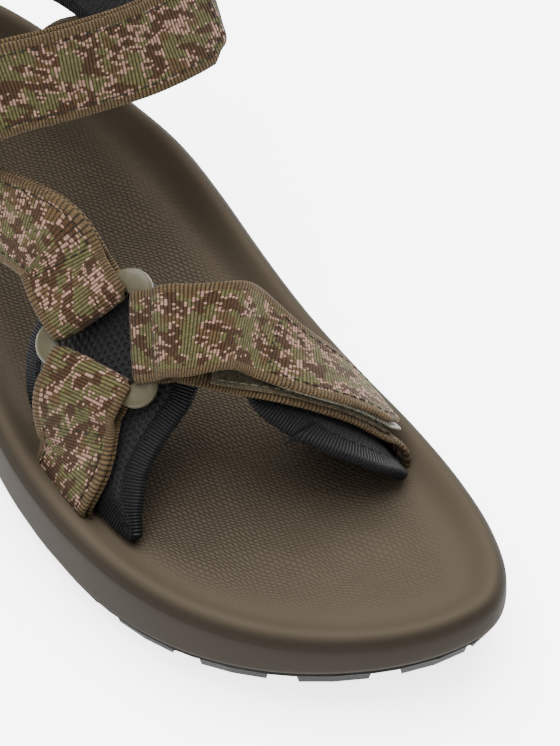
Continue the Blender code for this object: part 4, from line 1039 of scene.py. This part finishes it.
class SANDAL_OT_rings(bpy.types.Operator):
    """Builds the moulded triangular rings"""
    bl_idname = "sandal.rings"
    bl_label = "Rings"

    def execute(self, context):
        # Outer and inner edges are rounded triangles; the inner one is cut off flat at its corners,
        # so each corner is a broad plate. The section between them is a superellipse.
        angle = np.linspace(0, 2 * np.pi, 360, endpoint=False)
        near = (angle + np.pi / 3) % (2 * np.pi / 3) - np.pi / 3
        grow = APOTHEM + BAR_W / 2
        hub = 2 * (grow - RING_BEND - BAR_W / 2)
        side = grow / np.cos(near)
        tip = np.pi / 3 - np.abs(near)
        reach = RING_BEND + BAR_W / 2
        arc = hub * np.cos(tip) + np.sqrt(np.maximum(reach ** 2 - (hub * np.sin(tip)) ** 2, 0))
        outer = np.where(hub * np.sin(tip) < reach, np.minimum(side, arc), side)
        flat = (APOTHEM - BAR_W / 2) / np.cos(near)
        corner = CORNER_CUT / np.cos(tip)
        inner = -EASE * np.log(np.exp(-flat / EASE) + np.exp(-corner / EASE))
        turn = np.linspace(0, 2 * np.pi, 28, endpoint=False)
        ca, sa = np.cos(turn), np.sin(turn)
        wide, tall = np.sign(ca) * np.abs(ca) ** 0.7, np.sign(sa) * np.abs(sa) ** 0.7
        for name, ring in RINGS.items():
            side_way = np.cross(ring.n, ring.e)
            face = np.cos(angle)[:, None] * ring.e + np.sin(angle)[:, None] * side_way
            middle, half = (outer + inner) / 2, (outer - inner) / 2
            thin = BAR_T / 2 * (1 - 0.18 * smooth(half, 2.6, 3.6))
            rings = (ring.c + (middle[:, None] + half[:, None] * wide)[..., None] * face[:, None]
                     + (thin[:, None] * tall)[..., None] * ring.n)
            tube_object(name + "_moulded", rings, MATERIALS["ring"], True, np.zeros((361, 29, 2)),
                        slot="ring_olive", replaces=(name,))
        return {"FINISHED"}


def loop_to_slot(name, ring, k, slot, mids, seed):
    """Doubled strap from a slot round a bar and back, its edges sewn together."""
    path, out, across, run = from_ring(ring, k, mids, slot)
    gap = spread(run)[:, None]
    wa, widths = wrap(ring, k)
    keep = run < run[-1] - 1.0
    over, below = path + out * gap, path - out * gap
    over, below, mid = over[keep], below[keep], across[keep]
    pts = np.vstack([below[::-1], wa[1:-1], over])
    ac = np.vstack([mid[::-1], np.tile(across[0], (len(wa) - 2, 1)), mid])
    wd = np.concatenate([np.full(len(below), STRAP_W), widths[1:-1], np.full(len(over), STRAP_W)])
    webbing(name + "_webbing", pts, ac, wd, seed=seed, replaces=(name,))
    first = int(15 / STEP)
    lines = [seam(over, mid, s * SEAM_V, STRAP_T / 2, first) for s in (-1, 1)]
    lines.append(cross_seam(over, mid, first, SEAM_V, STRAP_T / 2))
    stitches(name + "_stitches", lines)


def belt(name, a, ka, b, kb, mids, far_lead, seed):
    """Doubled strap sewn into a loop round a bar of each of two rings."""
    path, out, across, run = from_ring(a, ka, mids, (b, kb), None, far_lead)
    gap = (spread(run) + spread(run[-1] - run) - HALF_GAP)[:, None]
    wa, widths_a = wrap(a, ka)
    wb, widths_b = wrap(b, kb)
    over, below = path + out * gap, path - out * gap
    pts = np.vstack([wa[1:-1], over, wb[::-1][1:-1], below[::-1]])
    ac = np.vstack([np.tile(across[0], (len(wa) - 2, 1)), across, np.tile(across[-1], (len(wb) - 2, 1)),
                    across[::-1]])
    full = np.full(len(path), STRAP_W)
    wd = np.concatenate([widths_a[1:-1], full, widths_b[::-1][1:-1], full])
    webbing(name + "_webbing", pts, ac, wd, closed=True, seed=seed, replaces=(name,))
    end = int(14 / STEP)
    lines = [seam(over, across, s * SEAM_V, STRAP_T / 2, end, -end) for s in (-1, 1)]
    lines += [cross_seam(over, across, i, SEAM_V, STRAP_T / 2) for i in (end, len(over) - end)]
    stitches(name + "_stitches", lines)


SEAT = STRAP_T / 2 + CLEAR + PILE_T + CLEAR + HOOK_T + 1.5 * CLEAR + STRAP_T / 2
FOLD_FROM = 34       # sections round the bar before the webbing counts as the flap


def closure(prefix, ring, k, strap, flap_l, pile, bow_l, tail, seed, rise=BOW_H, sway=0.0):
    """Strap up through a ring with its loop patch, and the flap that carries on round the bar and
    folds back with its hook patch."""
    path, out, across, run = strap
    dip = (WRAP_B * (1 - smooth(run, *PARTING)))[:, None]
    wa, widths = wrap(ring, k, 262.0, 60)
    cut = FOLD_FROM
    base = path - out * dip
    pts, ac = [wa[:cut][::-1], base[1:]], [np.tile(across[0], (cut, 1)), across[1:]]
    wd = [widths[:cut][::-1], np.full(len(base) - 1, STRAP_W)]
    if tail is not None:
        pts.append(tail)
        ac.append(np.tile(across[-1], (len(tail), 1)))
        wd.append(np.full(len(tail), STRAP_W))
    webbing(prefix + "_strap_webbing", np.vstack(pts), np.vstack(ac), np.concatenate(wd), seed=seed,
            seams=False, replaces=(prefix + "_strap",))

    def layer(a, b, lift):
        """Route over the strap from a to b along it, lifted by a height that depends on the place."""
        at = np.linspace(a, b, int((b - a) / STEP) + 2)
        p, o, c = along(path, run, at), unit(along(out, run, at)), unit(along(across, run, at))
        return p + o * np.broadcast_to(lift(at), len(at))[:, None], c, at

    def seat(at):
        """Flap's height: down from the bar's to its seat on the patches, plus a squared-sine bow."""
        swell = rise * np.sin(np.pi * np.clip(at / bow_l, 0, 1)) ** 2
        return WRAP_B + (SEAT - WRAP_B) * smooth(at, 4.0, bow_l) + swell

    def aside(at):
        """Flap's sideways stray: a squared sine, none at the ring."""
        return (sway * np.sin(np.pi * np.clip(at / (1.4 * bow_l), 0, 1)) ** 2)[:, None]

    body = prefix + "_flap"
    p, c, at = layer(pile[0], pile[1], lambda d: STRAP_T / 2 + CLEAR * 0.3 + PILE_T / 2)
    webbing(prefix + "_loop_patch", p, c, STRAP_W - 2.4, thick=PILE_T, seams=False, rib_h=0.03, seed=seed,
            material="pile", slot="pile_grey_green", replaces=(prefix + "_pile",))
    stitches(prefix + "_loop_stitches", [seam(p, c, s * (STRAP_W / 2 - 2.6), PILE_T / 2, 4, -4)
                                         for s in (-1, 1)], material="pale_thread", slot="pile_grey_green")
    p, c, at = layer(0.35, flap_l, seat)
    p = p + c * aside(at)
    width = np.minimum(STRAP_W, STRAP_W - 9.0 + 1.5 * (flap_l - at))
    over, narrow = wa[cut - 1:], widths[cut - 1:]
    obj = webbing(prefix + "_flap_webbing", np.vstack([over, p]),
                  np.vstack([np.tile(across[0], (len(over), 1)), c]), np.concatenate([narrow, width]),
                  seed=seed + 1.3, body=None, replaces=(body,))
    hub = ring.bar(k)
    place_points(hub - ring.out(k) * 2.2)
    place_points(hub + ring.out(k) * 1.2)
    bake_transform(obj)
    tack = int(np.argmin(np.abs(at - bow_l)))
    edge = np.minimum(STRAP_W, width) / 2 - SEAM_IN
    lines = [seam(p, c, s * edge, STRAP_T / 2, tack, -4) for s in (-1, 1)]
    lines += [cross_seam(p, c, tack, SEAM_V, STRAP_T / 2, 0.7),
              cross_seam(p, c, len(p) - 5, 6.0, STRAP_T / 2)]
    stitches(prefix + "_flap_stitches", lines, body=body)
    drop = STRAP_T / 2 + 1.2 * CLEAR + HOOK_T / 2
    p, c, at = layer(bow_l, flap_l + 2.0, lambda d: seat(d) - drop)
    p = p + c * aside(at)
    webbing(prefix + "_hook_patch", p, c, np.minimum(STRAP_W - 2.4, STRAP_W - 7.4 + (flap_l + 2 - at)),
            thick=HOOK_T, seams=False, rib_h=0.02, seed=seed, material="hook", slot="hook_grey_green",
            body=body, replaces=(prefix + "_hook",))


def far_loop(strap, other, j):
    """The strap's far end eased up to a second ring, and its return under itself."""
    path, out, across, run = strap
    left = run[-1] - run
    path = path + out * (WRAP_B * (1 - smooth(left, *PARTING)))[:, None]
    wb, _ = wrap(other, j)
    back = path - out * (2 * WRAP_B - (2 * WRAP_B - 2 * HALF_GAP) * smooth(left, 3.5, 15.0))[:, None]
    keep = (left < 12.0) & (left > 0.4)
    return (path, out, across, run), np.vstack([wb[::-1][1:-1], back[keep][::-1]])


class SANDAL_OT_forefoot(bpy.types.Operator):
    """Builds the anchor, quarter and toe straps"""
    bl_idname = "sandal.forefoot"
    bl_label = "Forefoot straps"

    def execute(self, context):
        slot = Slot(-40.0 * SY, -1, 2)
        loop_to_slot("anchor_strap", FORE_RING, 2, slot, [on_foot(-38, -68, DOUBLE + 0.6)], 2.0)
        belt("quarter_strap", FORE_RING, 1, LAT_RING, 0,
             [on_foot(4, -34, DOUBLE + 2.6),
              (np.array([-28.0 * SX, 26.0 * SY, 68.0]), unit(np.array([-0.8, -0.4, 0.45])))],
             tilted(-42.0), 5.0)
        slot = Slot(-74.0 * SY, 1, 1)
        mids = [on_foot(y, th, LAYER + 0.8) for y, th in ((-46.5, -2), (-57, 22), (-66, 46), (-71.5, 67))]
        toe = from_ring(FORE_RING, 0, mids, slot)
        closure("toe", FORE_RING, 0, toe, 73.0, (20.0, 70.0), 34.0, None, 0.0, BOW_H + 1.0, TOE_SWAY)
        return {"FINISHED"}


class SANDAL_OT_ankle(bpy.types.Operator):
    """Builds the arch, ankle and heel straps and the riser"""
    bl_idname = "sandal.ankle"
    bl_label = "Ankle and heel straps"

    def execute(self, context):
        slot = Slot(84.0 * SY, 1, 2)
        loop_to_slot("arch_strap", MED_RING, 0, slot, [(slot.at(slot.top + 13.0, 0.9), slot.out)], 3.0)
        mids = [on_ankle(*p) for p in (
            (-29.5, 39, 96, 12), (-22, 35, 100.5, 22), (-13, 32, 102.5), (-3, 29, 103), (8, 26.5, 103),
            (22, 24, 103), (38, 24.5, 102.5), (50, 29.5, 100.5, 20), (54, 38, 96, 10))]
        ankle = from_ring(LAT_RING, LAT_ANKLE, mids, (MED_RING, MED_ANKLE), tilted(36.0))
        ankle, tail = far_loop(ankle, MED_RING, MED_ANKLE)
        closure("ankle", LAT_RING, LAT_ANKLE, ankle, 92.0, (22.0, 92.0), 26.0, tail, 7.0)
        lift = LAYER + STRAP_T + 5 * CLEAR
        mids = [on_collar(COLLAR_LEN * f, 0.0, lift) for f in np.linspace(0.74, 0.25, 15)]
        heel = from_ring(MED_RING, MED_HEEL, mids, (LAT_RING, LAT_HEEL))
        heel, tail = far_loop(heel, LAT_RING, LAT_HEEL)
        closure("heel", MED_RING, MED_HEEL, heel, 62.0, (20.0, 66.0), 22.0, tail, 11.0)
        slot = Slot(86.0 * SY, -1, 1, RISER_W)
        s = COLLAR_LEN * 0.255
        pts = [collar(s, STRAP_W / 2 - 1.0, LAYER), collar(s, 0.0, LAYER),
               collar(s, -STRAP_W / 2, LAYER), collar(s, -STRAP_W / 2 - 7.0, LAYER + 0.8),
               slot.at(slot.top + 4.0), slot.at(slot.top - 1.0), slot.at(slot.base + 9.0),
               slot.at(slot.base + 5.5)]
        path, _, across, _ = route(pts, [collar_out(s)] * 4 + [slot.out] * 4)
        webbing("lateral_riser_webbing", path, across, RISER_W, seams=False, seed=13.0,
                replaces=("lateral_riser",))
        return {"FINISHED"}


# ---- pads ----------------------------------------------------------------------------------
MM_PER_DEGREE = 0.62     # across the foot's surface, for the mesh's size
LATERAL_PAD = [(-65, -79), (-60, -65), (-55, -54), (-52, -42), (-49, -28), (-43, -18), (-32, -13), (-20, -16),
               (-11, -26), (-5, -41), (-4, -55), (-6, -67), (-13, -77), (-28, -80), (-46, -80), (-58, -81)]
MEDIAL_PAD = [(-88, 77), (-90, 62), (-89.5, 46), (-87, 33), (-83, 20), (-78, 8), (-71, -4), (-62, -9),
              (-53, -5), (-47, 8), (-46, 24), (-48, 40), (-52, 56), (-58, 69), (-66, 77), (-77, 80)]


def foot_page(page, h):
    """Page points (y, th) on the foot's surface."""
    return foot(page[..., 0], page[..., 1], h)


def collar_page(page, h):
    """Page points (s, v) on the collar."""
    return collar(page[..., 0], page[..., 1], h)


def foot_loop(points, n):
    """Closed outline on the foot's surface as a function of inset: each point moves square to the
    edge, with the move solved in the surface's own metric."""
    page = spline(np.asarray(points, float) * [SY, 1.0], n, closed=True)

    def at(inset):
        """The outline's page points at an inset."""
        e = 0.25
        dy = (foot_page(page + [e, 0], 0.0) - foot_page(page - [e, 0], 0.0)) / (2 * e)
        dt = (foot_page(page + [0, e], 0.0) - foot_page(page - [0, e], 0.0)) / (2 * e)
        turn = np.roll(page, -1, axis=0) - np.roll(page, 1, axis=0)
        ahead = unit(dy * turn[:, :1] + dt * turn[:, 1:])
        inward = np.cross(unit(np.cross(dy, dt)), ahead)
        mid, here = foot_page(page.mean(axis=0)[None], 0.0), foot_page(page, 0.0)
        if np.sum(inward * (mid - here)) < 0:
            inward = -inward
        g11, g12, g22 = np.sum(dy * dy, 1), np.sum(dy * dt, 1), np.sum(dt * dt, 1)
        b1, b2 = np.sum(dy * inward, 1) * inset, np.sum(dt * inward, 1) * inset
        det = g11 * g22 - g12 ** 2
        return page + np.stack([(g22 * b1 - g12 * b2) / det, (g11 * b2 - g12 * b1) / det], axis=1)
    return at


def collar_loop(n, margin, half):
    """Rounded rectangle on the collar as a function of inset."""
    def at(inset):
        """The outline's page points at an inset."""
        r = half - 4.0 - inset
        s0, s1, v = margin + inset, COLLAR_LEN - margin - inset, half - inset
        arc = np.radians(np.linspace(180, 90, 24))
        left = np.stack([s0 + r + r * np.cos(arc), v - r + r * np.sin(arc)], axis=1)
        side = np.stack([np.full(8, s0), np.linspace(0, v - r, 9)[:-1]], axis=1)
        upper = np.vstack([side, left])
        top = np.stack([np.linspace(s0 + r, s1 - r, n)[1:-1], np.full(n - 2, v)], axis=1)
        right = (upper * [-1, 1] + [s0 + s1, 0])[::-1]
        upper = np.vstack([upper, top, right])
        return np.vstack([upper, upper[::-1][1:-1] * [1, -1]])
    return at


def pad_object(name, loop, place, slot_name):
    """Crowned pad: a few rings round the sewn edge, then straight lines across join its two sides,
    and the skin rises with the distance from the edge as a quarter sine."""
    low, full = CLEAR * 0.5, PAD_T + CLEAR
    inset = [2.4, 0.9, 0.6, 0.9, 1.5, 2.4]
    rise = [low, low, low + 0.5, low + 0.9, low + 1.1, low + 1.4]
    pages = [loop(i) for i in inset]
    n, q = len(pages[0]), 30
    edge = place(loop(0.0), 0.5 * full)
    verts = [place(p, float(h)) for p, h in zip(pages, rise)]
    groups, coords, total = [grid_faces(len(pages), n, False, True)[0]], list(pages), len(pages) * n
    for row, top in ((len(pages) - 1, True), (0, False)):
        inner = across_points(pages[row], q).reshape(-1, 2)
        skin = place(inner, low)
        if top:
            away = np.min(np.linalg.norm(edge[None] - skin[:, None], axis=2), axis=1)
            lift = np.sin(np.pi / 2 * np.clip((away - 1.0) / 7.0, 0, 1))
            skin = place(inner, low + 1.0 + (full - low - 0.7) * lift)
        verts.append(skin)
        coords.append(inner)
        groups += across_faces(n, row, total, q, top)
        total += len(inner)
    verts = np.vstack(verts)
    groups = facing_out(verts, groups)
    flat = np.vstack(coords) * ([1.0, MM_PER_DEGREE] if place is foot_page else [1.0, 1.0])
    obj = make_object(name + "_liner", place_points(verts), groups, MATERIALS["mesh"],
                      uv=[flat[g] for g in groups], slot=slot_name, replaces=(name + "_pad",))
    return obj


def tape_reach(edge):
    """Share of the tape's width that fits inside each bend of the edge, evened out along it."""
    step = np.linalg.norm(np.roll(edge, -1, axis=0) - edge, axis=1).mean()
    gap = max(1, int(2.0 / step))
    a, b = unit(edge - np.roll(edge, gap, axis=0)), unit(np.roll(edge, -gap, axis=0) - edge)
    bend = np.arccos(np.clip(np.sum(a * b, axis=1), -1, 1)) / (gap * step)
    share = np.clip(0.75 / np.maximum(bend, 1e-3) / BIND_W, 0.45, 1.0)
    span = max(1, int(4.0 / step))
    share = np.min([np.roll(share, k) for k in range(-span, span + 1)], axis=0)
    return np.mean([np.roll(share, k) for k in range(-span, span + 1)], axis=0)


def binding_object(name, loop, place):
    """Ribbed tape folded over the pad's edge: a flattened loop section, its ribs square to the edge."""
    half = (PAD_T + CLEAR) / 2 + 0.05
    t = np.linspace(0, 1, 8)
    fold = np.radians(np.linspace(90, -90, 9))
    crown = 11                       # the section's point on the fold, for telling out from in
    out_in = np.concatenate([BIND_W * (1 - t[:-1]), -(BIND_OUT * 1.1) * np.cos(fold), (BIND_W * t)[1:]])
    out_h = np.concatenate([np.full(7, 1.0), np.sin(fold), np.full(7, -1.0)])
    high = half + half * out_h
    wall = 0.55
    in_in = np.concatenate([BIND_W * (1 - t[:-1]), -(BIND_OUT * 1.1 - wall) * np.cos(fold), (BIND_W * t)[1:]])
    in_high = half + (half - wall) * out_h
    section = np.concatenate([np.stack([out_in, high], 1), np.stack([in_in, in_high], 1)[::-1]])
    reach = tape_reach(place(loop(0.0), half)) if place is foot_page else 1.0
    pages = {float(e): loop(float(e) * (reach if e > 0 else 1.0)) for e in np.unique(section[:, 0])}
    shell = np.stack([place(pages[float(e)], float(h)) for e, h in section], axis=1)
    centre = shell.mean(axis=1)
    run = length_along(np.vstack([centre, centre[:1]]))
    count = int(round(run[-1] / TAPE_RIB)) * 4
    at = np.linspace(0, run[-1], count + 1)[:-1]
    closed = np.concatenate([shell, shell[:1]])
    rings = np.stack([along(closed[:, j], run, at) for j in range(len(section))], axis=1)
    tangent = unit(np.roll(rings, -1, axis=0) - np.roll(rings, 1, axis=0))
    around = unit(np.roll(rings, -1, axis=1) - np.roll(rings, 1, axis=1))
    normal = unit(np.cross(tangent, around))
    middle = rings.mean(axis=1, keepdims=True)
    if np.sum(normal[:, crown] * (rings[:, crown] - middle[:, 0])) < 0:
        normal = -normal
    outer = (np.arange(len(section)) < len(out_in)).astype(float)
    pitch = run[-1] / (count // 4)
    rib = np.sqrt(np.abs(np.sin(np.pi * at / pitch))) - 0.6
    rings = rings + normal * (rib[:, None] * outer[None])[..., None] * 0.16
    u = np.repeat((np.append(at, run[-1]) / pitch * TAPE_RIB)[:, None], len(section) + 1, axis=1)
    v = np.append(section[:, 0], section[0, 0])[None] + np.zeros((len(at) + 1, 1))
    tube_object(name + "_tape", rings, MATERIALS["tape"], True, np.stack([u, v], -1),
                slot="grosgrain_black", replaces=(name + "_binding",))
    for side, h in (("outer", 2 * half), ("inner", 0.0)):
        page = loop((BIND_W - 1.0) * reach)
        line = place(page, float(h))
        away = unit(place(page, 1.0) - place(page, 0.0))
        line = np.vstack([line, line[:1]]) + np.vstack([away, away[:1]]) * (0.05 if h else -0.05)
        away = np.vstack([away, away[:1]]) * (1 if h else -1)
        stitches(name + "_" + side + "_stitches", [(line, away)], material="black_thread",
                 slot="grosgrain_black")


class SANDAL_OT_pads(bpy.types.Operator):
    """Builds the spacer-mesh liners and their ribbed bindings"""
    bl_idname = "sandal.pads"
    bl_label = "Pads"

    def execute(self, context):
        for name, loop, place in (("lateral", foot_loop(LATERAL_PAD, 240), foot_page),
                                  ("medial", foot_loop(MEDIAL_PAD, 220), foot_page),
                                  ("collar", collar_loop(160, 1.0, COLLAR_H / 2), collar_page)):
            pad_object(name, loop, place, "mesh_black")
            binding_object(name, loop, place)
        return {"FINISHED"}


# Lights: place in metres, side of the square in metres, power in watts.
LIGHTS = {"top_light": ((0.3, 0.5, 2.0), 2.4, 200.0), "key_light": ((-0.9, -0.3, 1.5), 0.9, 14.0),
          "fill_light": ((1.1, -0.9, 1.2), 1.2, 5.0)}
LIT_AT = (0, 0, 0.03)
# Camera: what it looks at in the sole's millimetres, from where round it, and its lens in millimetres.
LOOK_AT, AZIMUTH, ELEVATION, DISTANCE, LENS = (28.61, -36.72, 20.0), -34.0, 51.0, 0.85, 144.1


class SANDAL_OT_stage(bpy.types.Operator):
    """Builds the floor, the lights and the camera"""
    bl_idname = "sandal.stage"
    bl_label = "Stage"

    def execute(self, context):
        scene = context.scene
        half = scene.sandal_sizes.floor_size / 2
        look = Look("floor", 0.6, Specular_IOR_Level=0.2)
        look.shader.inputs["Base Color"].default_value = (0.97, 0.97, 0.97, 1.0)
        look.shader.inputs["Emission Color"].default_value = (1.0, 1.0, 1.0, 1.0)
        look.shader.inputs["Emission Strength"].default_value = 3.2
        verts = np.array([(-half, -half, 0), (half, -half, 0), (half, half, 0), (-half, half, 0)])
        make_object("floor", verts, [np.array([[0, 1, 2, 3]])], look.mat, body="stage")
        world = scene.world or bpy.data.worlds.new("studio")
        scene.world = world
        world.use_nodes = True
        back = next(n for n in world.node_tree.nodes if n.type == "BACKGROUND")
        back.inputs["Color"].default_value = (1.0, 1.0, 1.0, 1.0)
        back.inputs["Strength"].default_value = 0.7
        for name, (at, size, power) in LIGHTS.items():
            light = bpy.data.lights.new(name, "AREA")
            light.size, light.energy = size, power
            obj = bpy.data.objects.new(name, light)
            obj.location = at
            obj.rotation_euler = self.aim(at, LIT_AT)
            scene.collection.objects.link(obj)
        camera = bpy.data.cameras.new("camera")
        camera.lens, camera.sensor_width = LENS, 36.0
        camera.clip_start = 0.01
        obj = bpy.data.objects.new("camera", camera)
        target = (np.array(LOOK_AT) + SHIFT) * MM
        az, el = math.radians(AZIMUTH), math.radians(ELEVATION)
        back = np.array([math.sin(az) * math.cos(el), -math.cos(az) * math.cos(el), math.sin(el)])
        obj.location = tuple(target + DISTANCE * back)
        obj.rotation_euler = self.aim(obj.location, target)
        scene.collection.objects.link(obj)
        scene.camera = obj
        return {"FINISHED"}

    @staticmethod
    def aim(at, target):
        """Rotation that points a light or camera from at to target."""
        return (Vector(target) - Vector(at)).to_track_quat("-Z", "Y").to_euler()


STEPS = (SANDAL_OT_finishes, SANDAL_OT_footbed, SANDAL_OT_rings, SANDAL_OT_forefoot, SANDAL_OT_ankle,
         SANDAL_OT_pads, SANDAL_OT_stage)


class SANDAL_PT_panel(bpy.types.Panel):
    """Lists the steps, sizes and colours"""
    bl_idname = "SANDAL_PT_panel"
    bl_label = "Sandal"
    bl_space_type = "VIEW_3D"
    bl_region_type = "UI"
    bl_category = "Sandal"

    def draw(self, context):
        for group in (context.scene.sandal_sizes, context.scene.sandal_colours):
            for key in group.bl_rna.properties.keys():
                if key not in ("rna_type", "name"):
                    self.layout.prop(group, key)
        for step in STEPS:
            self.layout.operator(step.bl_idname)


CLASSES = (SandalColours, SandalSizes, *STEPS, SANDAL_PT_panel)


def register():
    """Registers the classes and the scene's properties."""
    for cls in CLASSES:
        bpy.utils.register_class(cls)
    bpy.types.Scene.sandal_colours = bpy.props.PointerProperty(type=SandalColours)
    bpy.types.Scene.sandal_sizes = bpy.props.PointerProperty(type=SandalSizes)


def unregister():
    """Removes them again."""
    del bpy.types.Scene.sandal_sizes
    del bpy.types.Scene.sandal_colours
    for cls in reversed(CLASSES):
        bpy.utils.unregister_class(cls)


def main():
    """Builds everything in order."""
    register()
    for step in STEPS:
        group, call = step.bl_idname.split(".")
        getattr(getattr(bpy.ops, group), call)()


if __name__ == "__main__":
    main()
